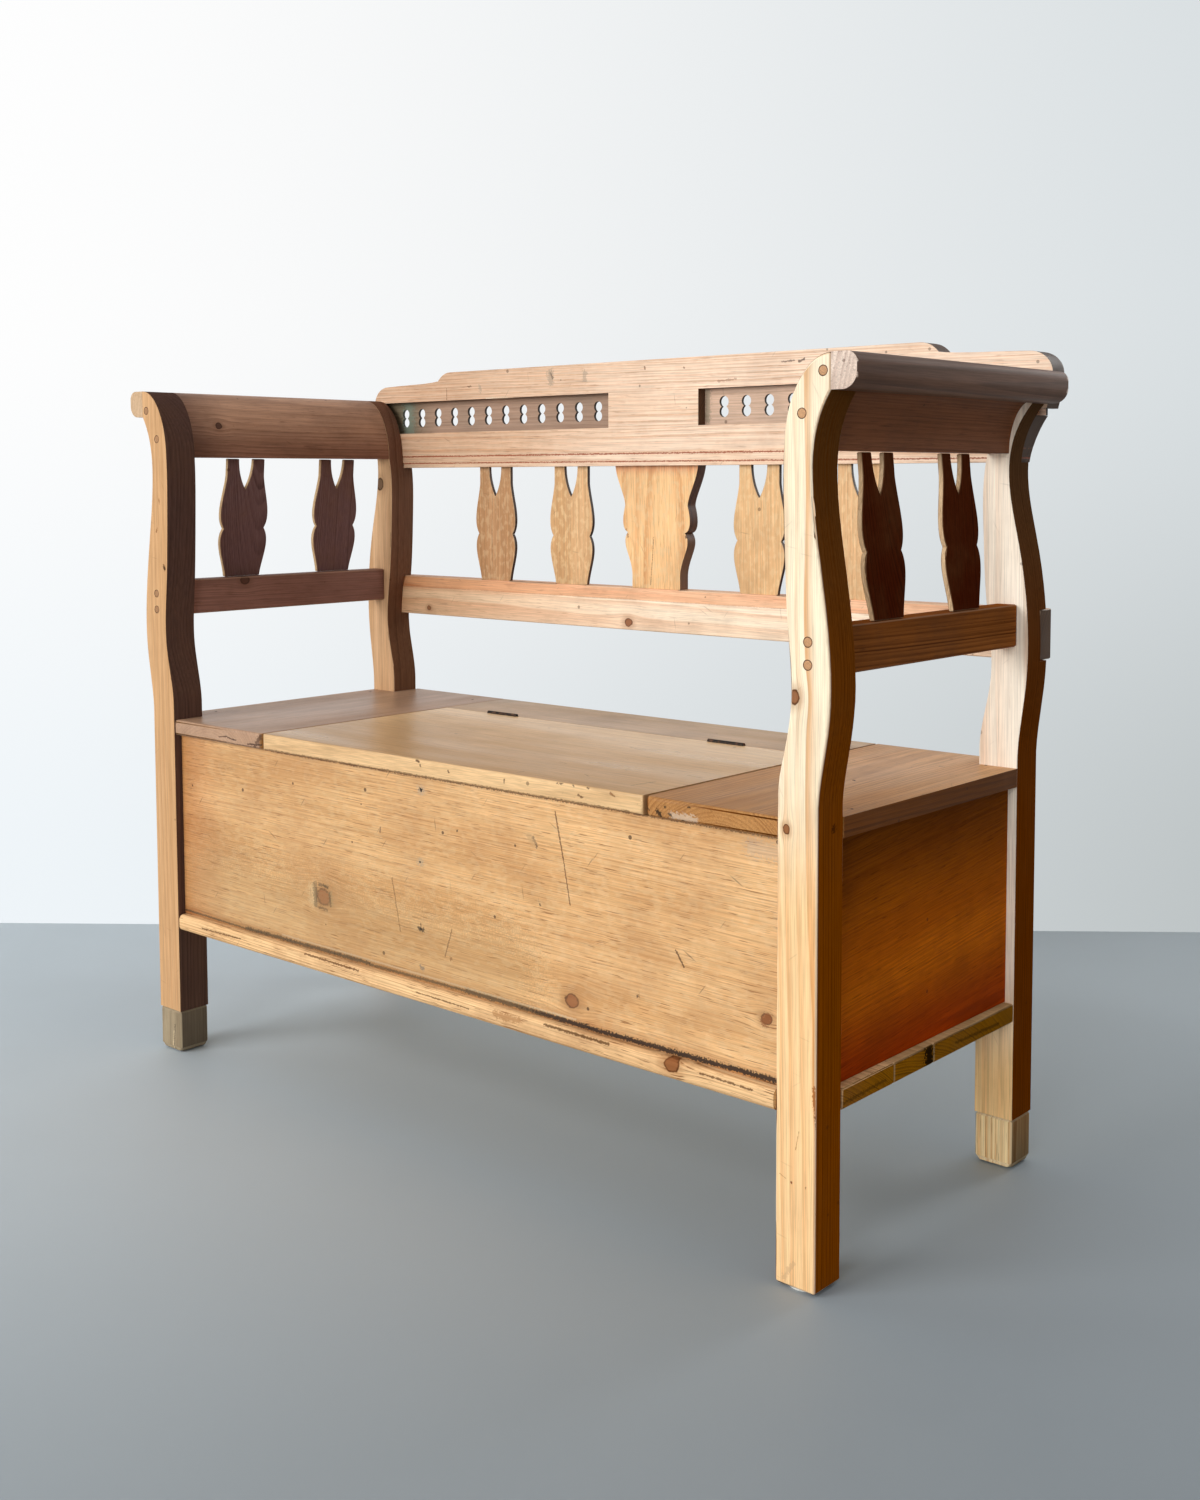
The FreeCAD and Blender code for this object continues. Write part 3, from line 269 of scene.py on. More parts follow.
plainPine = {
    "grain": "xzy",  # the axes that run along, across and into the board
    "log": (0.0, 0.3, 0.08), "tilt": (0.0, 0.0, 0.012), "ringWidth": 0.0034, "wander": 0.01,
    "early": "#E2B57E", "late": "#B98A54", "lateAmount": 0.7, "tone": "#CC9A62", "toneAmount": 0.5,
    "dash": 0.25, "dashTone": "#8A5A30", "worn": "#F0D6AC", "wornAmount": 0.45,
    "grime": "#7A5634", "grimeAmount": 0.25, "scratches": 0.5, "dings": 0.6,
    "knots": [],  # along, across, radius
    "marks": [],  # start, end (None for a dot), width, colour, strength
    "frontMarks": [],  # the same in x and z, on faces that look forward
    "sideMarks": [],  # and in y and z, on faces that look sideways
    "drifts": [],  # axis, from, to, colour that the wood is multiplied with
    "deepMarks": 9,  # how many marks of each kind reach the bump; one material can't hold more
    "mottle": 0.0,
    "knotTones": ("#5E331A", "#8E5530", "#3E2010", "#9A6234"),  # core, its streaks, rim, halo
    "side": "",  # the darker faces, such as "x" or "noty", darker partly by the wood's own tone and partly by painted shade for faces the light misses; their tones give axis, from, to, three colours
    "sideToneAndShadeAmount": 1.0,
    "rough": 0.46, "gloss": 0.25, "coat": 0.06, "bump": 0.35,
    "bruise": "#4A2E18",
}


def pineFinish(name, look):
    look = dict(plainPine, **look)
    material, tree = newMaterial(name)
    spot = put(tree, "ShaderNodeTexCoord").outputs
    axes = splitUp(tree, spot["Object"])
    order = [axes[letter.upper()] for letter in look["grain"]]
    place = flat = put(tree, "ShaderNodeCombineXYZ", {0: order[0], 1: order[1], 2: order[2]}).outputs[0]
    branches = []
    for along, across, radius in look["knots"]:
        branches.append(useGroup(tree, knotGroup, {"Place": place, "Centre": (along, across, 0), "Radius": radius}))
        place = branches[-1]["Place"]
    inLog = put(tree, "ShaderNodeMapping", {"Vector": place, "Location": look["log"], "Rotation": look["tilt"]}).outputs[0]
    rings = useGroup(tree, pineRings, {"Place": inLog, "Ring Width": look["ringWidth"], "Wander": look["wander"]})
    hurts = useGroup(tree, knocks, {"Place": flat, "Scratches": look["scratches"], "Dings": look["dings"]})
    # the wood itself
    late = times(tree, rings["Late Wood"], look["lateAmount"])
    colour = mixColour(tree, late, tint(look["early"]), tint(look["late"]))
    tone = rangeOf(tree, rings["Tone"], 0.35, 0.7, 0.0, look["toneAmount"])
    colour = mixColour(tree, tone, colour, tint(look["tone"]))
    colour = mixColour(tree, times(tree, rings["Dash"], look["dash"]), colour, tint(look["dashTone"]))
    if look["mottle"]:
        patchy = noiseOf(tree, flat, (80, 140, 140), 7.0)
        colour = mixColour(tree, rangeOf(tree, patchy, 0.48, 0.6, 0.0, look["mottle"]), colour, tint(look["mottleTone"]))
    for axis, start, end, shade in look["drifts"]:
        amount = rangeOf(tree, axes[axis.upper()], start, end)
        colour = mixColour(tree, amount, colour, tint(shade), "MULTIPLY")
    # the faces along one axis get a darker colour: partly the wood's own tone there, partly painted shade for faces
    # that the light doesn't reach
    normal = splitUp(tree, spot["Normal"])
    if look["side"]:
        facing = math1(tree, "ABSOLUTE", normal[look["side"][-1].upper()])
        if look["side"].startswith("not"):
            facing = math1(tree, "SUBTRACT", 1.0, facing)
        axis, start, end, first, last, ring = look["sideToneAndShade"]
        toneAndShade = mixColour(tree, rangeOf(tree, axes[axis.upper()], start, end), tint(first), tint(last))
        toneAndShade = mixColour(tree, late, toneAndShade, tint(ring))
        colour = mixColour(tree, rangeOf(tree, facing, 0.25, 0.6, 0.0, look["sideToneAndShadeAmount"]), colour, toneAndShade)
    streak = rangeOf(tree, rings["Fibre"], 0.3, 0.7, 0.82, 1.1)
    grey = put(tree, "ShaderNodeCombineColor", {0: streak, 1: streak, 2: streak}).outputs[0]
    colour = mixColour(tree, 1.0, colour, grey, "MULTIPLY")
    if branches:
        core, streaks, rim, halo = [tint(shade) for shade in look["knotTones"]]
        heart = mixColour(tree, streak, core, streaks)
        for part, strength, shade in (("Halo", 0.4, halo), ("Core", 0.9, heart), ("Rim", 0.8, rim)):
            reach = strongest(tree, [knot[part] for knot in branches])
            colour = mixColour(tree, times(tree, reach, strength), colour, shade)
    # dirt, rubbed arrises and bruises
    colour = mixColour(tree, times(tree, hurts["Grime"], look["grimeAmount"]), colour, tint(look["grime"]))
    wear = put(tree, "ShaderNodeAttribute", attribute_name="wear").outputs["Fac"]
    patches = rangeOf(tree, rings["Tone"], 0.3, 0.6, look["wornAmount"] * 0.4, look["wornAmount"])
    colour = mixColour(tree, times(tree, wear, patches), colour, tint(look["worn"]))
    deep = math1(tree, "MAXIMUM", times(tree, hurts["Scratch"], 0.5), times(tree, hurts["Ding"], 0.9))
    colour = mixColour(tree, deep, colour, tint(look["bruise"]))
    # marks that stand in known places
    ragged = rangeOf(tree, cloudOf(tree, spot["Object"], 420.0, 2.0), 0.3, 0.7, 0.35, 1.5)
    planes = {"marks": (flat, None), "frontMarks": ("X", "Y"), "sideMarks": ("Y", "X")}
    for kind, (along, across) in planes.items():
        if look[kind] and across:
            shown = rangeOf(tree, math1(tree, "ABSOLUTE", normal[across]), 0.5, 0.8)
            along = put(tree, "ShaderNodeCombineXYZ", {0: axes[along], 1: axes["Z"]}).outputs[0]
        for number, (start, end, width, shade, strength) in enumerate(look[kind]):
            end = end or start
            links = {"Place": along, "Ragged": ragged, "Start": (*start, 0), "Width": width}
            links["Run"] = (end[0] - start[0] + 1e-5, end[1] - start[1], 0)
            mark = times(tree, useGroup(tree, strokeGroup, links)["Mark"], strength)
            if across:
                mark = times(tree, mark, shown)
            colour = mixColour(tree, mark, colour, tint(shade))
            if number < look["deepMarks"]:
                deep = math1(tree, "MAXIMUM", deep, mark)
    rough = rangeOf(tree, rings["Tone"], 0.2, 0.8, look["rough"] - 0.08, look["rough"] + 0.12)
    height = math1(tree, "ADD", times(tree, rings["Late Wood"], 0.3), times(tree, rings["Fibre"], 0.45))
    height = math1(tree, "SUBTRACT", height, times(tree, deep, 1.3))
    bump = put(tree, "ShaderNodeBump", {"Height": height, "Strength": look["bump"], "Distance": 0.0007})
    shader = put(tree, "ShaderNodeBsdfPrincipled", {
        "Base Color": colour, "Roughness": rough, "Normal": bump.outputs[0],
        "Specular IOR Level": look["gloss"], "Coat Weight": look["coat"], "Coat Roughness": 0.3, "IOR": 1.5,
    })
    finish(tree, shader.outputs[0])
    return material


softEdge = {
    "round": 0.0022, "dent": 0.0006, "chips": 0.0,
    "step": 0.022,  # how far apart the cuts along the piece are
    "shortest": 0.0027,  # shorter edges stay sharp
    "grooves": [],  # height, half width and depth of each groove in the front
    "frayed": None,  # height and depth of a ragged lower edge
}
copying = {
    "merge": 1e-6, "flatAngle": 0.007, "arrisAngle": math.radians(35), "shadeAngle": math.radians(40),
    "thinShare": 0.24, "segments": 3, "front": 0.0004, "frayReach": 0.01,
    "dentWaves": 31, "chipWaves": 12, "frayWaves": 45, "unchipped": 0.25,
}


def cutAll(bm, point, normal):
    everything = bm.verts[:] + bm.edges[:] + bm.faces[:]
    bmesh.ops.bisect_plane(bm, geom=everything, dist=copying["merge"], plane_co=point, plane_no=normal)


def wornCopy(node, wear):
    # the solid with its arrises rubbed round, cut into short lengths so that they can wander
    wear = dict(softEdge, **wear)
    bm = bmesh.new()
    bm.from_mesh(frame["nodes"][node].data)
    bmesh.ops.remove_doubles(bm, verts=bm.verts, dist=copying["merge"])
    bmesh.ops.dissolve_limit(bm, angle_limit=copying["flatAngle"], verts=bm.verts, edges=bm.edges)
    rubbed = bm.verts.layers.float.new("wear")
    arrises = []
    for edge in bm.edges:
        if len(edge.link_faces) == 2 and edge.calc_length() > wear["shortest"]:
            if edge.calc_face_angle(0) > copying["arrisAngle"]:
                arrises.append(edge)
    low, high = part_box(node)
    rounding = min(wear["round"], copying["thinShare"] * min(high - low))
    made = bmesh.ops.bevel(
        bm, geom=arrises, offset=rounding, segments=copying["segments"], profile=0.5, affect="EDGES", clamp_overlap=True,
    )
    strip = set(made["faces"])
    for vert in made["verts"]:
        if vert.is_valid and all(face in strip for face in vert.link_faces):
            vert[rubbed] = 1.0
    size = high - low
    axis = max(range(3), key=lambda i: size[i])
    normal = Vector([1.0 if i == axis else 0.0 for i in range(3)])
    for cut in range(1, int(size[axis] / wear["step"])):
        cutAll(bm, low + normal * cut * wear["step"], normal)
    for level, half, depth in wear["grooves"]:
        for height in (level - half, level, level + half):
            cutAll(bm, (0, 0, height), (0, 0, 1))
        for vert in bm.verts:
            if abs(vert.co.z - level) < 1e-5 and vert.co.y < low.y + copying["front"]:
                vert.co.y += depth
    bm.normal_update()
    moves = []
    for vert in bm.verts:
        if vert[rubbed] > 0.2:
            wave = noise.noise(vert.co * copying["dentWaves"]) * 0.5 + 0.5
            chip = noise.noise(vert.co * copying["chipWaves"] + Vector((7, 3, 5))) - copying["unchipped"]
            chip = max(0.0, chip) * wear["chips"]
            if wear["frayed"] and abs(vert.co.z - wear["frayed"][0]) < copying["frayReach"]:
                chip += wear["frayed"][1] * max(0.0, noise.noise(vert.co * copying["frayWaves"]) + 0.4)
            moves.append((vert, vert.normal * -(wave * wear["dent"] + chip)))
    for vert, move in moves:
        vert.co += move
    for face in bm.faces:
        face.smooth = True
    mesh = bpy.data.meshes.new(node + "_worn")
    bm.to_mesh(mesh)
    bm.free()
    mesh.set_sharp_from_angle(angle=copying["shadeAngle"])
    return mesh


def bodyOf(node):
    for body, members in frame["record"]["behaviour"]["bodies"].items():
        if node in members:
            return body


def newObject(name, data):
    thing = bpy.data.objects.new(name, data)
    scene.collection.objects.link(thing)
    return thing


def dress(node, material, wear):
    piece = newObject(node + "_worn", wornCopy(node, wear))
    piece.data.materials.append(material)
    even = piece.modifiers.new("even shading", "WEIGHTED_NORMAL")
    even.keep_sharp = True
    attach(piece, bodyOf(node))
    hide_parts(node)


postLook = {
    "grain": "zxy", "ringWidth": 0.0052, "wander": 0.006, "lateAmount": 0.55, "side": "noty",
    "wornAmount": 0.35, "grimeAmount": 0.12, "rough": 0.5, "dash": 0.12, "scratches": 0.3, "dings": 0.4,
    "gloss": 0.0, "coat": 0.0,
}
posts = {
    "front_left_post": {
        "log": (0.3, 0.62, 0.11), "early": "#D6AA7E", "late": "#AE7C50", "tone": "#C49668", "worn": "#E2C094",
        "sideToneAndShade": ("z", 0.2, 0.9, "#62483C", "#5C443C", "#3C2A26"),
        "marks": [
            ((0.7065, -0.5435), (0.7105, -0.5455), 0.0026, "#3A2416", 0.9),
            ((0.76, -0.562), (0.764, -0.56), 0.0016, "#7A4A28", 0.7),
            ((0.8, -0.5535), (0.806, -0.5535), 0.0014, "#7A4A28", 0.6),
        ],
    },
    "front_right_post": {
        "log": (1.3, -0.6, 0.09), "early": "#FFEDCE", "late": "#DCA26A", "tone": "#FBDDB4", "worn": "#FFF2DC",
        "lateAmount": 0.9, "ringWidth": 0.0042,
        "sideToneAndShade": ("z", 0.4, 0.92, "#9A4E00", "#6C421C", "#6A3400"),
        "knots": [(0.615, 0.5494, 0.0062), (0.4796, 0.5405, 0.0042)],
        "sideMarks": [
            ((-0.187, 0.615), (-0.186, 0.617), 0.005, "#3E1E08", 0.8), ((-0.213, 0.48), (-0.212, 0.481), 0.004, "#4A2408", 0.8),
        ],
        "frontMarks": [
            ((0.5752, 0.219), (0.5779, 0.19), 0.0022, "#A8622C", 0.85),
            ((0.5779, 0.19), (0.5779, 0.178), 0.0012, "#6A3414", 0.9),
        ],
        "marks": [
            ((0.1141, 0.5488), None, 0.0013, "#7A3E18", 0.9),
            ((0.1135, 0.5663), None, 0.0013, "#7A3E18", 0.8), ((0.17, 0.5577), (0.15, 0.5539), 0.0006, "#A8703C", 0.6),
            ((0.12, 0.5342), (0.1165, 0.5422), 0.0006, "#A8703C", 0.6), ((0.011, 0.54), (0.03, 0.552), 0.003, "#C9A27A", 0.5),
        ],
        "drifts": [("z", 0.55, 0.38, "#FEE6C7")],
    },
    "rear_left_post": {
        "log": (2.3, 0.61, 0.12), "early": "#D9B088", "late": "#B4875C", "tone": "#C89C70", "worn": "#E6C6A0",
        "sideToneAndShade": ("z", 0.5, 0.9, "#724E38", "#7A5644", "#503626"),
        "knots": [(0.826, -0.556, 0.0082)], "knotTones": ("#4A382C", "#6A5240", "#33241A", "#8A6848"),
    },
    "rear_right_post": {
        "log": (3.1, -0.62, 0.1), "early": "#FFF4E2", "late": "#D8A478", "tone": "#FFE8D0", "worn": "#FFF6EA",
        # the drift darkens and warms the foot of this post: painted shade where the chest keeps the light off it
        "sideToneAndShade": ("z", 0.45, 0.9, "#7C3A00", "#62442C", "#482604"), "drifts": [("z", 0.27, 0.1, "#FFDFAC")],
        "ringWidth": 0.004,
    },
}
for node, own in posts.items():
    dress(node, pineFinish(node + " pine", dict(postLook, **own)), {"round": 0.003, "dent": 0.0009, "chips": 0.003})

footLook = {
    "grain": "zxy", "early": "#A99678", "late": "#7C6A50", "tone": "#8F7C60", "worn": "#B8A688", "dash": 0.4,
    "grimeAmount": 0.5, "grime": "#5E5244", "rough": 0.65, "coat": 0.0, "ringWidth": 0.0036, "log": (0.0, 0.6, 0.06),
    "side": "noty", "sideToneAndShade": ("z", 0.0, 0.06, "#5A4E40", "#6A5C4C", "#40362C"), "sideToneAndShadeAmount": 0.8,
    "marks": [
        ((0.004, -0.548), (0.03, -0.5445), 0.0016, "#E0C8A0", 0.7), ((0.0, -0.5465), (0.04, -0.5425), 0.0012, "#3A2C20", 0.7),
    ],
}
freshFoot = dict(
    footLook, early="#FFE4B0", late="#D89858", tone="#FFD69A", worn="#FFECC8", gloss=0.0, ringWidth=0.0075, lateAmount=1.0,
    wander=0.002, grimeAmount=0.1, log=(0.0, -1.2, 0.06), marks=[],
    sideToneAndShade=("z", 0.0, 0.06, "#5A3A1C", "#84501E", "#4A2A0E"),
)
footEdge = {"round": 0.0034, "dent": 0.0016, "chips": 0.006}
dress("front_left_foot_block", pineFinish("left foot pine", footLook), footEdge)
dress("rear_right_foot_block", pineFinish("right foot pine", freshFoot), footEdge)

pegLook = {
    "grain": "yxz", "early": "#D2A072", "late": "#9A6A44", "tone": "#BC8A60", "ringWidth": 0.0018, "lateAmount": 0.5,
    "log": (0.0, 0.0, 0.0), "worn": "#5A3822", "wornAmount": 2.0, "grimeAmount": 0.2, "coat": 0.05, "dings": 0.0,
}
paleEnds = pineFinish("pale peg ends", pegLook)
darkEnds = pineFinish("dark peg ends", dict(pegLook, early="#B08258", late="#7E5636", tone="#966C48"))
for node, material in (("left_arm_dowels", darkEnds), ("right_arm_dowels", paleEnds), ("back_pegs", darkEnds)):
    dress(node, material, {"round": 0.001, "dent": 0.0, "shortest": 0.0, "step": 9.0})
print("posts done")

armLook = {
    "grain": "yxz", "early": "#C89A7C", "late": "#946A50", "tone": "#A07458", "toneAmount": 0.8,
    "dash": 0.45, "dashTone": "#5A3424", "ringWidth": 0.0042, "worn": "#C09A7C", "wornAmount": 0.4, "grimeAmount": 0.35,
    "grime": "#5A3E30", "gloss": 0.08, "coat": 0.04, "knotTones": ("#3A2218", "#4E3024", "#2A1810", "#6A4632"),
}
arms = {
    "left": {
        "roll": {
            "early": "#D8B896", "late": "#B08A68", "tone": "#C4A27E",
            "side": "noty", "sideToneAndShade": ("y", -0.2, 0.2, "#7A6250", "#846856", "#4E3A2C"),
        },
        "panel": {
            "grain": "yzx", "log": (0.4, -0.6, 0.78), "knots": [(-0.146, 0.9126, 0.0046)],
            # the drifts darken the panel towards its foot, painted shade where less light reaches, and towards its
            # front
            "drifts": [("z", 0.93, 0.86, "#BCADAD"), ("y", -0.12, -0.21, "#B4ACAC")],
        },
        "rail": {"early": "#946A5C", "late": "#6A463C", "tone": "#7E584C", "grain": "yzx", "knots": [(-0.099, 0.684, 0.0065)]},
        "splat": {"early": "#D6B890", "late": "#A88460", "sideToneAndShade": ("z", 0.68, 0.86, "#6E5250", "#785C5A", "#4E3836")},
    },
    "right": {
        "roll": {
            "early": "#F4DECC", "late": "#AE8878", "tone": "#E6CAB4",
            "side": "noty", "sideToneAndShade": ("y", -0.2, 0.2, "#7E5A46", "#8A6652", "#4A382E"),
        },
        "panel": {"early": "#985E3C", "late": "#683A20", "tone": "#804C2E", "gloss": 0.03, "coat": 0.0},
        "rail": {
            "early": "#A86430", "late": "#54260A", "tone": "#8C4E20", "gloss": 0.0, "coat": 0.0, "grain": "yzx",
            "lateAmount": 1.0, "ringWidth": 0.0052, "wander": 0.006, "log": (0.3, -0.9, -0.5),
        },
        "splat": {"early": "#DCBE98", "late": "#AC8864", "sideToneAndShade": ("z", 0.68, 0.86, "#521E0A", "#5C2812", "#32120A")},
    },
}
splatLook = {
    "grain": "zyx", "tone": "#B8946E", "worn": "#B08C68", "wornAmount": 0.5, "grimeAmount": 0.3, "side": "x",
    "ringWidth": 0.003, "gloss": 0.0, "coat": 0.0,
}
splatEdge = {"round": 0.001, "shortest": 0.0012}
for word, side in (("left", -1), ("right", 1)):
    own = arms[word]
    log = (side, -0.595 * side - 0.18, -0.9)
    rollLook = dict(armLook, log=log, ringWidth=0.0062, lateAmount=0.8, wander=0.004, grimeAmount=0.3, **own["roll"])
    panelLook = {**armLook, "log": (side, -0.5 * side, -0.82), **own["panel"]}
    railLook = {**armLook, "log": (side, -0.6, -0.56 * side), **own["rail"]}
    dress(word + "_arm_roll", pineFinish(word + " roll pine", rollLook), {"round": 0.0026, "dent": 0.001, "chips": 0.004})
    dress(word + "_arm_panel", pineFinish(word + " panel pine", panelLook), {"round": 0.0015})
    dress(word + "_arm_rail", pineFinish(word + " rail pine", railLook), {"dent": 0.0008})
    material = pineFinish(word + " arm splat pine", dict(splatLook, log=(side, 0.05, -0.5 * side), **own["splat"]))
    for node in (word + "_arm_front_splat", word + "_arm_rear_splat"):
        dress(node, material, splatEdge)
print("arms done")

crestLook = {
    "early": "#FCE0C6", "late": "#D69E74", "tone": "#F0C8A4", "log": (0.4, -0.8, -0.4), "ringWidth": 0.003,
    "worn": "#FCE6CC", "wornAmount": 0.5, "grime": "#9A6E4C", "rough": 0.55, "coat": 0.05, "dash": 0.4,
    "dashTone": "#9A6844", "side": "noty", "sideToneAndShade": ("x", -0.5, 0.5, "#7A5A42", "#523218", "#3A2414"),
    "drifts": [("x", 0.15, -0.5, "#DDD0C4")], "mottle": 0.16, "mottleTone": "#FBE8D0",
    "marks": [
        # the first two marks darken the two grooves: painted shade in the grooves
        ((-0.56, 0.8697), (0.56, 0.8692), 0.0012, "#9A4A28", 0.9), ((-0.56, 0.859), (0.56, 0.8572), 0.001, "#9A4A28", 0.9),
        ((-0.2049, 0.99), (-0.2049, 0.978), 0.007, "#9A8A78", 0.55),
        ((-0.1355, 0.988), (-0.1355, 0.977), 0.0045, "#9A8A78", 0.5),
        ((-0.2049, 0.991), (-0.2, 0.983), 0.0016, "#5E5040", 0.6),
        ((-0.3809, 0.9772), (-0.373, 0.9776), 0.0014, "#6E4A30", 0.7),
        ((-0.3545, 0.9761), (-0.352, 0.97), 0.004, "#8E8272", 0.4), ((-0.429, 0.959), (-0.429, 0.976), 0.0007, "#7A4626", 0.8),
        ((-0.022, 0.991), (-0.021, 0.988), 0.0014, "#7A4A28", 0.7), ((0.0486, 0.9876), (0.05, 0.986), 0.0011, "#7A4A28", 0.7),
        ((-0.3404, 0.957), (-0.2935, 0.9564), 0.0013, "#F8E8CC", 0.7),
        ((0.1091, 0.9658), (0.14, 0.968), 0.0016, "#8A5A38", 0.5),
        ((0.215, 0.987), (0.235, 0.988), 0.0012, "#4A3428", 0.7), ((0.242, 0.9865), (0.25, 0.989), 0.0016, "#4A3428", 0.8),
    ],
}
crestEdge = {"round": 0.0028, "dent": 0.0009, "chips": 0.003, "grooves": [(0.8694, 0.0022, 0.0016), (0.8581, 0.002, 0.0014)]}
dress("crest_board", pineFinish("crest pine", crestLook), crestEdge)
fretLook = {
    "early": "#C4A084", "late": "#A07C60", "tone": "#B28E70", "grime": "#7A7464", "grimeAmount": 0.35,
    "log": (0.0, -0.85, -0.35), "ringWidth": 0.0035, "rough": 0.6, "coat": 0.0, "worn": "#B09880", "wornAmount": 0.3,
    "side": "noty", "sideToneAndShade": ("x", -0.5, 0.5, "#3A2C22", "#3A2C22", "#241A12"),
}
leftFret = dict(
    fretLook, early="#B0907A", late="#8C6C54", tone="#9A7C66", drifts=[("x", -0.46, -0.55, "#B4C4B8")],
    marks=[((-0.535, 0.911), (-0.535, 0.955), 0.016, "#7A8878", 0.7)],
)
rightFret = dict(
    fretLook, early="#E8C6AE", late="#C09C80", tone="#D4B094", grimeAmount=0.25,
    marks=[((0.079, 0.915), (0.079, 0.955), 0.006, "#9A9078", 0.6)],
)
fretEdge = {"round": 0.0005, "dent": 0.0001, "shortest": 0.0, "step": 9.0}
for word, look in (("left", leftFret), ("right", rightFret)):
    dress(word + "_fret_strip", pineFinish(word + " fret pine", look), fretEdge)
lowerRailLook = {
    "early": "#FFF0D8", "late": "#E0A67C", "tone": "#FFE0C0", "log": (0.2, -0.6, -0.35), "ringWidth": 0.0048, "wander": 0.008,
    "lateAmount": 0.75, "rough": 0.5, "worn": "#FBE0C0", "dash": 0.35,
    "knots": [(-0.0545, 0.6265, 0.0058), (-0.477, 0.627, 0.0036)],
    "side": "x", "sideToneAndShade": ("z", 0.61, 0.68, "#5E3C1E", "#664220", "#3E260E"),
    "drifts": [("x", 0.1, -0.56, "#E4CCB4"), ("z", 0.659, 0.661, "#F5D4BF")],
    "marks": [((-0.55, 0.66), (0.55, 0.66), 0.0005, "#A8704C", 0.4)],
}
dress("lower_back_rail", pineFinish("lower rail pine", lowerRailLook), {"round": 0.0018, "chips": 0.002})
backSplatLook = {
    "grain": "zxy", "early": "#E0B484", "late": "#BA8654", "tone": "#CC9C68", "toneAmount": 0.75, "lateAmount": 0.45,
    "ringWidth": 0.0038, "wander": 0.02, "worn": "#F0D2A8", "grimeAmount": 0.35, "grime": "#A07C58",
    "dash": 0.5, "dashTone": "#A07040", "side": "noty", "sideToneAndShade": ("z", 0.68, 0.85, "#40241A", "#40241A", "#2C160C"),
    "mottle": 0.5, "mottleTone": "#EECD9C",
}
backSplats = {
    "left_outer": {"log": (2.9, 0.42, -0.36), "early": "#C8986C", "late": "#966840", "tone": "#B08054", "mottleTone": "#D8B48A"},
    "left_inner": {"log": (1.7, 0.25, -0.36)},
    "right_inner": {"log": (-0.7, -0.1, -0.36), "early": "#F0C690", "late": "#CC9A62", "tone": "#E2B480"},
    "right_outer": {"log": (-1.8, -0.26, -0.36), "early": "#E6BA88", "late": "#C08E5C", "tone": "#D6A674"},
}
for word, own in backSplats.items():
    dress(word + "_back_splat", pineFinish(word + " splat pine", dict(backSplatLook, **own)), splatEdge)
centreLook = dict(
    backSplatLook, early="#FACB92", late="#CF8F56", tone="#F2BE86", toneAmount=0.4, lateAmount=0.8, ringWidth=0.0085,
    wander=0.012, log=(0.5, -0.03, -0.3), tilt=(0, 0.02, 0.03), sideToneAndShade=("z", 0.68, 0.85, "#6A4028", "#5A3626", "#40241A"),
    drifts=[("z", 0.835, 0.853, "#EBCFD0")], dash=0.6,
    marks=[((0.682, -0.018), (0.75, -0.012), 0.0007, "#7A4A28", 0.7), ((0.752, 0.047), (0.757, 0.052), 0.0026, "#5A3420", 0.8),
           ((0.76, -0.064), (0.75, -0.06), 0.002, "#8A5A38", 0.6)],
)
dress("centre_back_splat", pineFinish("centre splat pine", centreLook), {"round": 0.0016, "shortest": 0.0012})
print("back done")

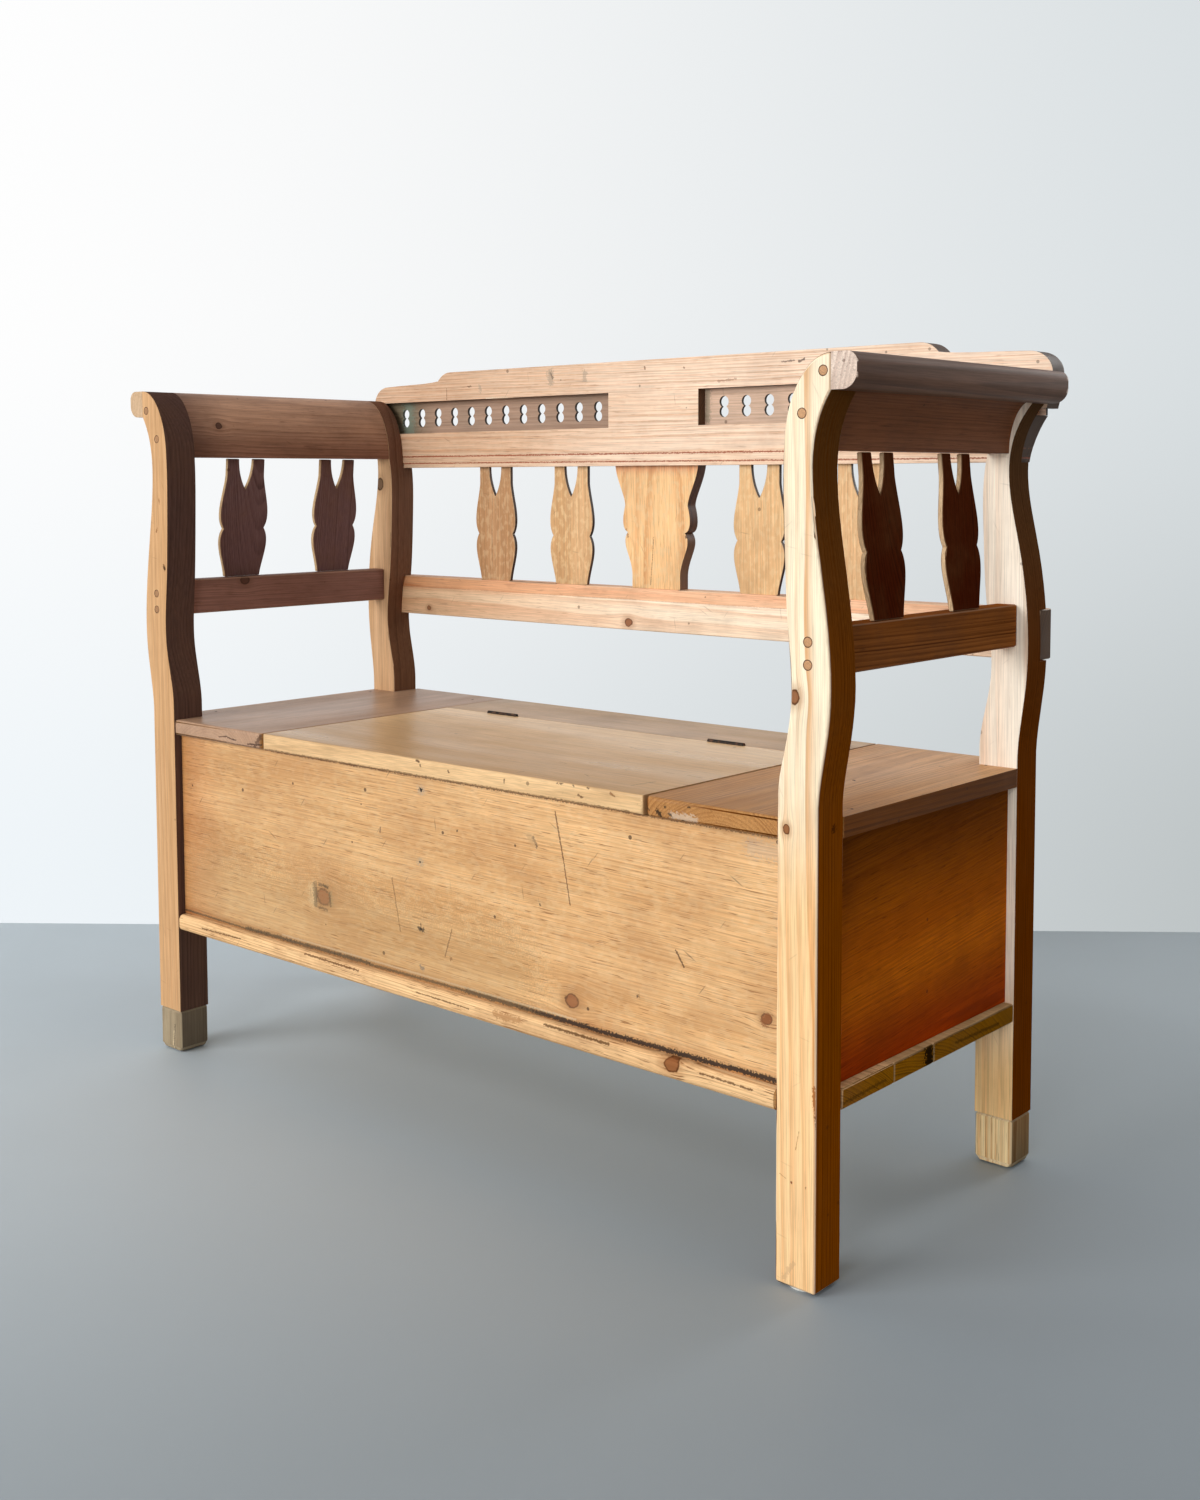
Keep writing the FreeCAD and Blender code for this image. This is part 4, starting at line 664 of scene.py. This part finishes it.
hole = "#33261E"
frontPanelLook = {
    "early": "#EFC088", "late": "#BC8046", "tone": "#CE985E", "toneAmount": 0.7, "log": (0.0, -0.12, 0.33), "ringWidth": 0.004,
    "lateAmount": 0.5, "tilt": (0.0, 0.004, 0.012), "wander": 0.014, "scratches": 1.0, "dings": 0.9,
    "dash": 0.75, "dashTone": "#8A5628", "mottle": 0.22, "mottleTone": "#F0CFA0",
    "knots": [(-0.2106, 0.2828, 0.0112), (0.2345, 0.2357, 0.0085), (0.509, 0.274, 0.006)],
    "knotTones": ("#7A4226", "#935834", "#2E1A0C", "#8A5A30"), "worn": "#E6C89A",
    "grimeAmount": 0.45, "grime": "#B07A48", "rough": 0.42, "coat": 0.12, "bump": 0.25,
    "drifts": [("x", 0.3, -0.15, "#F2F0EC"), ("x", -0.4, -0.53, "#EAD2C0"), ("z", 0.225, 0.206, "#CDB8A2")],
    "marks": [
        ((-0.0177, 0.4497), None, 0.008, "#B8A48A", 0.5), ((-0.019, 0.4505), (-0.017, 0.449), 0.003, hole, 0.95),
        ((-0.021, 0.3587), (-0.019, 0.358), 0.006, "#B09A7C", 0.6), ((-0.0235, 0.2741), (-0.017, 0.273), 0.0034, hole, 0.95),
        ((-0.021, 0.274), (-0.021, 0.281), 0.001, hole, 0.9), ((-0.0213, 0.2254), (-0.018, 0.224), 0.0034, "#7E7468", 0.8),
        ((0.1743, 0.4168), (0.18, 0.408), 0.0024, "#5A4434", 0.75), ((0.168, 0.417), (0.174, 0.412), 0.005, "#C09A6C", 0.6),
        ((0.185, 0.3393), None, 0.0016, hole, 0.8), ((0.0333, 0.2462), None, 0.003, "#8A5A34", 0.8),
        ((0.3342, 0.2622), None, 0.0022, hole, 0.8), ((0.2096, 0.4521), (0.222, 0.4), 0.0012, "#6A4426", 0.85),
        ((0.222, 0.4), (0.2324, 0.3474), 0.001, "#6A4426", 0.8), ((0.3882, 0.3232), (0.3993, 0.3077), 0.0014, "#5E3E24", 0.85),
        ((0.5108, 0.2756), (0.506, 0.27), 0.006, "#8A5028", 0.7), ((0.0357, 0.2835), (0.023, 0.248), 0.0011, "#6A4426", 0.75),
        ((-0.074, 0.33), (-0.059, 0.2637), 0.0011, "#7A5430", 0.7), ((0.0461, 0.4069), None, 0.0016, hole, 0.9),
        ((-0.0958, 0.3852), (-0.095, 0.392), 0.0013, "#6A4A34", 0.7), ((-0.1321, 0.4168), None, 0.0013, "#5A3E28", 0.8),
        ((-0.2346, 0.29), (-0.233, 0.274), 0.01, "#E2C090", 0.6), ((-0.226, 0.293), (-0.225, 0.275), 0.0016, "#6A4A30", 0.8),
        ((-0.196, 0.29), (-0.194, 0.276), 0.005, "#A88A5E", 0.5), ((-0.21, 0.298), (-0.202, 0.296), 0.0014, "#5E4028", 0.8),
        ((-0.238, 0.29), (-0.237, 0.278), 0.0007, "#8A6440", 0.6),
        # the next five marks draw a ragged dark line above the nosing, painted shade in the gap there; the mark after
        # them is a painted shadow under the seat
        ((-0.53, 0.212), (-0.38, 0.2095), 0.0016, "#3E2A1A", 0.9), ((-0.38, 0.21), (-0.12, 0.2112), 0.0034, "#2E2018", 0.95),
        ((-0.12, 0.2095), (0.06, 0.2115), 0.0022, "#3E2A1A", 0.9), ((0.06, 0.2118), (0.26, 0.21), 0.0038, "#2E2018", 0.95),
        ((0.26, 0.2095), (0.53, 0.2114), 0.0036, "#2E2018", 0.95), ((-0.33, 0.4672), (0.53, 0.4672), 0.0024, "#5A3A20", 0.7),
        ((-0.3, 0.216), (0.24, 0.215), 0.0014, "#D8C4A4", 0.5), ((-0.16, 0.4665), (-0.14, 0.466), 0.0016, "#6A4426", 0.7),
        ((0.49, 0.452), (0.6, 0.448), 0.012, "#B8A490", 0.35), ((-0.46, 0.25), (0.12, 0.24), 0.075, "#A08054", 0.3),
        ((-0.229, 0.297), (-0.2275, 0.27), 0.0046, "#6E5A3C", 0.6), ((-0.22, 0.2985), (-0.202, 0.2975), 0.0026, "#5E4A30", 0.6),
        ((-0.1975, 0.291), (-0.197, 0.273), 0.0022, "#5E4A30", 0.6),
        ((-0.22, 0.2675), (-0.204, 0.2665), 0.0024, "#6E5638", 0.6),
    ],
}
dress("front_panel", pineFinish("front panel pine", frontPanelLook), {"round": 0.0016, "dent": 0.001, "frayed": (0.206, 0.0022)})
sideLook = {
    "grain": "yzx", "early": "#D87008", "late": "#9A4402", "tone": "#B85604", "tilt": (0.0, 0.02, -0.1),
    "ringWidth": 0.0044, "wander": 0.02, "lateAmount": 0.6, "worn": "#C07A3A", "grime": "#6A3206", "grimeAmount": 0.35,
    "rough": 0.36, "gloss": 0.01, "coat": 0.0, "dash": 0.5, "dashTone": "#642A02", "scratches": 0.2,
    "mottle": 0.35, "mottleTone": "#C86410",
    "drifts": [("z", 0.3, 0.47, "#9AA0A4"), ("z", 0.3, 0.21, "#E1A6A6")],
}
ends = {
    "left": {"log": (-1, -0.2, 0.62), "early": "#B07A44", "late": "#7A4A22", "tone": "#966236", "mottleTone": "#B8824C"},
    "right": {"log": (1, -0.2, -0.62)},
}
for word, own in ends.items():
    dress(word + "_side_panel", pineFinish(word + " side pine", dict(sideLook, **own)), {"round": 0.001})
innerLook = {
    "grain": "xyz", "early": "#D8B484", "late": "#AC8654", "tone": "#C29C6C", "log": (0.0, 0.1, 0.1),
    "grimeAmount": 0.3, "rough": 0.7, "coat": 0.0,
}
endLook = {
    "side": "x", "sideToneAndShade": ("y", -0.2, 0.2, "#B07010", "#98620C", "#4A3008"), "gloss": 0.0, "coat": 0.0,
    "sideMarks": [
        ((-0.02, 0.186), (-0.019, 0.206), 0.011, "#1C1206", 0.95), ((-0.17, 0.205), (0.17, 0.205), 0.0016, "#4A3010", 0.6),
        ((-0.2, 0.19), (-0.11, 0.192), 0.0024, "#5A3A12", 0.6), ((0.04, 0.194), (0.14, 0.191), 0.0022, "#4A3010", 0.6),
    ],
}
for node in ("floor_middle_board", "floor_rear_board"):
    dress(node, pineFinish(node + " pine", dict(innerLook, **endLook)), {"dent": 0.001, "chips": 0.003})
dress("back_panel", pineFinish("back panel pine", dict(innerLook, grain="xzy")), {"round": 0.001})
nosingLook = {
    "early": "#F6CC98", "late": "#A87040", "tone": "#D49E66", "log": (0.7, 0.1, 0.33), "worn": "#F6DAB0",
    "ringWidth": 0.0032, "knots": [(0.3902, 0.2, 0.008)], "grimeAmount": 0.55, "grime": "#96603A", "dings": 1.0, "dash": 0.9,
    "dashTone": "#7A4A28",
    "frontMarks": [
        ((-0.47, 0.196), (-0.38, 0.1975), 0.0012, "#5A3820", 0.8), ((-0.24, 0.203), (-0.13, 0.2015), 0.0014, "#5A3820", 0.75),
        ((-0.02, 0.1965), (0.075, 0.195), 0.001, "#5A3820", 0.7), ((0.2, 0.203), (0.3, 0.202), 0.0016, "#4E3018", 0.8),
        ((0.43, 0.2005), (0.5, 0.199), 0.0012, "#5A3820", 0.8), ((0.12, 0.1985), (0.16, 0.199), 0.005, "#A8764A", 0.6),
    ],
    **endLook,
}
nosingEdge = {"round": 0.002, "dent": 0.0014, "chips": 0.004, "shortest": 0.0008}
dress("floor_front_board", pineFinish("nosing pine", nosingLook), nosingEdge)
print("chest done")

seatLook = {
    "grain": "yxz", "early": "#C39D7F", "late": "#8C664C", "tone": "#AA8468", "log": (0.0, 0.45, -0.4), "ringWidth": 0.004,
    "lateAmount": 0.5, "worn": "#C0A086", "wornAmount": 0.6, "grimeAmount": 0.3, "grime": "#6E4E38",
    "rough": 0.4, "coat": 0.13, "gloss": 0.16, "scratches": 0.4, "dash": 0.4, "dashTone": "#6E4A34",
    "side": "x", "sideToneAndShade": ("y", -0.2, 0.2, "#94642E", "#8A5A2C", "#5E3818"),
    "frontMarks": [
        ((-0.4231, 0.4763), (-0.404, 0.4787), 0.0011, "#4A3020", 0.85),
        ((-0.404, 0.4774), (-0.3852, 0.4749), 0.0012, "#4A3020", 0.85),
        ((-0.3575, 0.4729), (-0.33, 0.4743), 0.0014, "#4A3020", 0.9), ((-0.342, 0.47), (-0.332, 0.486), 0.0034, "#5A3C28", 0.8),
        # a dark line along the lower front edge: painted shadow where the board meets the panel
        ((-0.54, 0.4688), (-0.33, 0.4688), 0.0018, "#5A3C28", 0.7),
    ],
}
seatEdge = {"round": 0.003, "dent": 0.0014, "chips": 0.005}
dress("left_seat_board", pineFinish("left seat pine", seatLook), seatEdge)
rightSeat = dict(
    seatLook, early="#DEAA74", late="#985E30", tone="#C68C56", grime="#8A5C38", log=(0.0, -0.45, -0.4), lateAmount=0.7,
    # the drift darkens the board towards the front and leaves the back paler: painted light falling on the back
    drifts=[("y", 0.12, -0.2, "#DCD0B8")], coat=0.07, gloss=0.08,
    sideToneAndShade=("y", -0.2, 0.2, "#84480E", "#74400E", "#4A2404"),
    marks=[
        ((0.1327, 0.5008), None, 0.004, "#7A5844", 0.7), ((0.1865, 0.4844), None, 0.003, "#8A5A3E", 0.7),
        ((-0.0129, 0.4725), (-0.016, 0.476), 0.0014, "#5A3A26", 0.8),
        ((-0.1541, 0.5614), (-0.157, 0.558), 0.0013, "#5A3A26", 0.8),
    ],
    frontMarks=[
        ((0.39, 0.473), (0.42, 0.473), 0.005, "#D8C6B0", 0.5), ((0.3516, 0.4784), (0.358, 0.475), 0.0015, "#2E2014", 0.9),
        ((0.3696, 0.4754), (0.374, 0.472), 0.003, "#2E2014", 0.9), ((0.3856, 0.474), (0.389, 0.473), 0.0018, "#3A2A1C", 0.8),
        ((0.4032, 0.469), (0.4045, 0.469), 0.0018, "#2E2014", 0.9), ((0.3798, 0.4813), (0.381, 0.481), 0.0014, "#3A2A1C", 0.8),
        # the second mark is a dark line along the lower front edge: painted shadow where the board meets the panel
        ((0.4116, 0.4855), (0.415, 0.485), 0.0011, "#3A2A1C", 0.8), ((0.34, 0.4686), (0.525, 0.4686), 0.0018, "#5A3820", 0.7),
    ],
)
dress("right_seat_board", pineFinish("right seat pine", rightSeat), seatEdge)
stripLook = dict(seatLook, grain="xyz", early="#CDA880", late="#A07C5A", tone="#B8946C", log=(0.0, -0.1, -0.4), frontMarks=[])
dress("rear_seat_strip", pineFinish("rear strip pine", stripLook), {"round": 0.0014})
lidLook = {
    "grain": "xyz", "early": "#FAD6A6", "late": "#CA9C6A", "tone": "#E4BC8A", "log": (0.2, -0.1, -0.39), "ringWidth": 0.005,
    "lateAmount": 0.4, "tilt": (0.0, 0.006, 0.03), "wander": 0.016, "worn": "#F4DAB2", "wornAmount": 0.6, "grimeAmount": 0.3,
    "grime": "#B48E60", "rough": 0.32, "coat": 0.11, "gloss": 0.16, "dash": 0.45, "dashTone": "#A87C4C",
    # the drift darkens the lid towards the front and leaves the back paler: painted light falling on the back
    "bump": 0.25, "drifts": [("y", 0.15, -0.2, "#D6CABA")],
    "side": "y", "sideToneAndShade": ("x", -0.33, 0.33, "#E6BE8C", "#F2CA96", "#B48858"), "sideToneAndShadeAmount": 0.85,
    "marks": [
        ((0.1252, -0.0001), (0.1491, -0.0075), 0.0008, "#8A6238", 0.8),
        ((0.1491, -0.0075), (0.17, 0.01), 0.0008, "#8A6238", 0.7),
        ((0.1908, 0.0125), (0.2027, 0.0073), 0.001, "#7A5430", 0.7),
        ((0.3002, -0.2016), (0.307, -0.1677), 0.0009, "#5A3A20", 0.85),
        ((0.1456, -0.228), (0.1462, -0.2157), 0.0009, "#7A5430", 0.7),
        ((0.213, -0.1837), (0.2247, -0.1901), 0.0009, "#7A5430", 0.7),
        ((0.1327, -0.14), (0.1482, -0.1447), 0.0009, "#8A6238", 0.7),
    ],
    "frontMarks": [
        ((-0.017, 0.4888), (-0.011, 0.4868), 0.0016, "#5E3E24", 0.9),
        ((-0.0093, 0.4835), (-0.008, 0.4815), 0.0013, "#5E3E24", 0.85),
        ((0.0407, 0.482), (0.042, 0.48), 0.0013, "#5E3E24", 0.85), ((0.1368, 0.4829), (0.136, 0.479), 0.0013, "#5E3E24", 0.85),
        ((0.2212, 0.4898), (0.228, 0.489), 0.0019, "#4E3420", 0.9), ((0.2449, 0.489), (0.247, 0.488), 0.0014, "#4E3420", 0.85),
        ((0.2667, 0.489), (0.269, 0.488), 0.0014, "#4E3420", 0.85), ((0.254, 0.4786), (0.26, 0.477), 0.0015, "#6E4A2C", 0.8),
        # the second mark is a dark line along the lid's lower front edge: painted shadow between the lid and the panel
        ((0.3021, 0.4868), (0.308, 0.484), 0.0014, "#8A5C34", 0.8), ((-0.32, 0.4688), (0.328, 0.4688), 0.0018, "#6A4424", 0.75),
    ],
}
dress("lid_board", pineFinish("lid pine", lidLook), {"round": 0.0026, "dent": 0.0014, "chips": 0.005})
for word in ("left", "right"):
    dress(word + "_lid_batten", pineFinish(word + " batten pine", dict(innerLook, grain="yxz")), {"round": 0.0012})
print("seat done")


def placeIn(tree):
    return put(tree, "ShaderNodeTexCoord").outputs["Object"]


def ironFinish():
    material, tree = newMaterial("old iron")
    cloud = cloudOf(tree, placeIn(tree), 220.0, 5.0)
    rust = rangeOf(tree, cloud, 0.45, 0.65)
    colour = mixColour(tree, rust, tint("#2E2A27"), tint("#5A3A26"))
    bump = put(tree, "ShaderNodeBump", {"Height": cloud, "Strength": 0.4, "Distance": 0.0004})
    shader = put(tree, "ShaderNodeBsdfPrincipled", {
        "Base Color": colour, "Roughness": rangeOf(tree, cloud, 0.3, 0.7, 0.4, 0.75),
        "Metallic": rangeOf(tree, rust, 0.0, 1.0, 0.9, 0.1), "Normal": bump.outputs[0],
    })
    finish(tree, shader.outputs[0])
    return material


oldIron = ironFinish()
for word in ("left", "right"):
    for part in ("hinge_fixed_leaf", "hinge_lid_leaf", "hinge_pin"):
        data = frame["nodes"][word + "_" + part].data
        data.materials.clear()
        data.materials.append(oldIron)


def nailHead(name, place, normal, radius):
    # a hand-made head, a little domed and sunk into the wood
    bm = bmesh.new()
    sizes = {"radius1": radius, "radius2": radius * headShape["taper"], "depth": headShape["depth"]}
    bmesh.ops.create_cone(bm, cap_ends=True, segments=headShape["segments"], **sizes)
    for vert in bm.verts:
        vert.co.x *= 1 + headShape["uneven"] * noise.noise(vert.co * 700 + Vector(place) * 90)
    mesh = bpy.data.meshes.new(name)
    bm.to_mesh(mesh)
    bm.free()
    mesh.materials.append(oldIron)
    head = newObject(name, mesh)
    head.matrix_world = Matrix.Translation(place) @ Vector(normal).to_track_quat("Z", "Y").to_matrix().to_4x4()
    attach(head, "bench")


headShape = {"segments": 9, "depth": 0.0012, "taper": 0.55, "uneven": 0.12}
nails = {  # the way the heads face, their radius and their places
    "front_panel_nail": ((0, -1, 0), 0.0024, [(-0.0177, -0.2306, 0.4497), (-0.021, -0.2306, 0.3587), (-0.0205, -0.2306, 0.2739)]),
    "right_seat_nail": ((0, 0, 1), 0.003, [(0.5383, 0.1734, 0.4896), (0.5614, -0.1541, 0.4896), (0.4725, -0.0129, 0.4896)]),
    "left_seat_nail": ((0, 0, 1), 0.003, [(-0.556, -0.15, 0.4896), (-0.556, 0.15, 0.4896), (-0.36, 0.19, 0.4896)]),
}
for name, (normal, radius, places) in nails.items():
    for number, place in enumerate(places, start=1):
        nailHead(name + "_" + str(number), place, normal, radius)


def glideFinish():
    material, tree = newMaterial("glide plastic")
    scuff = cloudOf(tree, placeIn(tree), 260.0, 3.0)
    colour = mixColour(tree, rangeOf(tree, scuff, 0.5, 0.8), tint("#E6E4DC"), tint("#B9B4A6"))
    rough = rangeOf(tree, scuff, 0.0, 1.0, 0.4, 0.6)
    shader = put(tree, "ShaderNodeBsdfPrincipled", {"Base Color": colour, "Roughness": rough})
    finish(tree, shader.outputs[0])
    return material


dress("front_right_glide", glideFinish(), {"round": 0.0008, "dent": 0.0, "step": 9.0, "shortest": 0.0})
print("iron and glide done")

view = {  # the angles are in radians
    "place": (1.5034, -1.6123, 0.8352), "yaw": 0.725, "pitch": -0.0733, "roll": -0.0031,
    "lens": 39.985, "sensor": 36.0, "shiftY": -0.1,
}
level = Vector((math.cos(view["yaw"]), math.sin(view["yaw"]), 0))
ahead = Vector((-level.y, level.x, 0))
forward = ahead * math.cos(view["pitch"]) + Vector((0, 0, math.sin(view["pitch"])))
upward = level.cross(forward)
right = level * math.cos(view["roll"]) + upward * math.sin(view["roll"])
upward = right.cross(forward)
camera = newObject("camera", bpy.data.cameras.new("camera"))
camera.matrix_world = Matrix((
    (right.x, upward.x, -forward.x, view["place"][0]),
    (right.y, upward.y, -forward.y, view["place"][1]),
    (right.z, upward.z, -forward.z, view["place"][2]),
    (0, 0, 0, 1),
))
camera.data.sensor_fit = "AUTO"
camera.data.sensor_width = view["sensor"]
camera.data.lens = view["lens"]
camera.data.shift_y = view["shiftY"]
scene.camera = camera

studio = {
    "floorLitLeft": "#BCC6CC", "floorShadedRight": "#868F95", "floorCloud": "#A8B0B4", "wall": "#E4E6E6",
    "wallLeft": "#FEFEFE", "wallRight": "#D3DADD", "footShadeLeft": "#F0F6FA", "footShadeRight": "#DDDDDB",
    "floorReach": 8, "wallFoot": ((-1.176, 0.132), (0.109, 1.181)), "wallReach": 7, "wallHeight": 5,
    "worldStrength": 0.31, "aim": (0, 0, 0.5),
    "lamps": {  # power, place and size
        "window": (250.0, (-2.0, -5.4, 3.1), 3.6),
        "second window": (104.0, (1.8, -5.6, 1.6), 2.2),
        "bounce": (9.0, (0.6, 1.45, 1.3), 0.8),
    },
}


def sheetOf(name, corners, material):
    mesh = bpy.data.meshes.new(name)
    mesh.from_pydata(corners, [], [(0, 1, 2, 3)])
    mesh.materials.append(material)
    sheet = newObject(name, mesh)


def clearBehind(tree, shader):
    # from behind, a sheet of the studio doesn't hide the bench
    away = put(tree, "ShaderNodeNewGeometry").outputs["Backfacing"]
    clear = put(tree, "ShaderNodeBsdfTransparent").outputs[0]
    finish(tree, put(tree, "ShaderNodeMixShader", {0: away, 1: shader, 2: clear}).outputs[0])


def floorFinish():
    material, tree = newMaterial("pale floor")
    spot = placeIn(tree)
    # painted light: the floor is paler by the window on the left and painted darker towards the front right
    along = vector1(tree, "DOT_PRODUCT", spot, (0.93, -0.36, 0.0), result="Value")
    shade = mixColour(tree, rangeOf(tree, along, -0.4, 1.3), tint(studio["floorLitLeft"]), tint(studio["floorShadedRight"]))
    cloud = rangeOf(tree, cloudOf(tree, spot, 3.0, 4.0), 0.3, 0.7, 0.0, 0.12)
    shade = mixColour(tree, cloud, shade, tint(studio["floorCloud"]))
    shader = put(tree, "ShaderNodeBsdfPrincipled", {"Base Color": shade, "Roughness": 0.6})
    clearBehind(tree, shader.outputs[0])
    return material


def wallFinish():
    # seen by the camera, the wall is white by the window and pale grey away from it, painted light, and darker towards
    # its foot, painted shade
    material, tree = newMaterial("pale wall")
    spot = splitUp(tree, placeIn(tree))
    across = rangeOf(tree, spot["X"], -1.5, 0.9)
    glow = mixColour(tree, across, tint(studio["wallLeft"]), tint(studio["wallRight"]))
    # painted shade: the wall darkens towards the floor
    low = mixColour(tree, across, tint(studio["footShadeLeft"]), tint(studio["footShadeRight"]))
    glow = mixColour(tree, rangeOf(tree, spot["Z"], 1.2, 0.0), glow, low, "MULTIPLY")
    seen = put(tree, "ShaderNodeEmission", {"Color": glow, "Strength": 1.0}).outputs[0]
    lit = put(tree, "ShaderNodeBsdfPrincipled", {"Base Color": tint(studio["wall"]), "Roughness": 0.9}).outputs[0]
    path = put(tree, "ShaderNodeLightPath").outputs
    shown = strongest(tree, [path["Is Camera Ray"], path["Is Glossy Ray"], path["Is Transmission Ray"]])
    clearBehind(tree, put(tree, "ShaderNodeMixShader", {0: shown, 1: lit, 2: seen}).outputs[0])
    return material


reach = studio["floorReach"]
sheetOf("floor", [(-reach, -reach, 0), (reach, -reach, 0), (reach, reach, 0), (-reach, reach, 0)], floorFinish())
near, far = [Vector(spot) for spot in studio["wallFoot"]]
run = (far - near).normalized() * studio["wallReach"]
first, last = (near + far) / 2 - run, (near + far) / 2 + run
top = studio["wallHeight"]
sheetOf("backdrop", [(*first, 0), (*last, 0), (*last, top), (*first, top)], wallFinish())
for name, (power, place, size) in studio["lamps"].items():
    lamp = bpy.data.lights.new(name, "AREA")
    lamp.energy = power
    lamp.size = size
    holder = newObject(name, lamp)
    holder.location = place
    holder.rotation_euler = (Vector(studio["aim"]) - Vector(place)).to_track_quat("-Z", "Y").to_euler()
world = bpy.data.worlds.new("studio")
scene.world = world
world.use_nodes = True
world.node_tree.nodes["Background"].inputs["Color"].default_value = (1, 1, 1, 1)
world.node_tree.nodes["Background"].inputs["Strength"].default_value = studio["worldStrength"]
scene.view_settings.view_transform = "Standard"
print("studio done")


def corners(box):
    return [[round(value, 6) for value in corner] for corner in box]
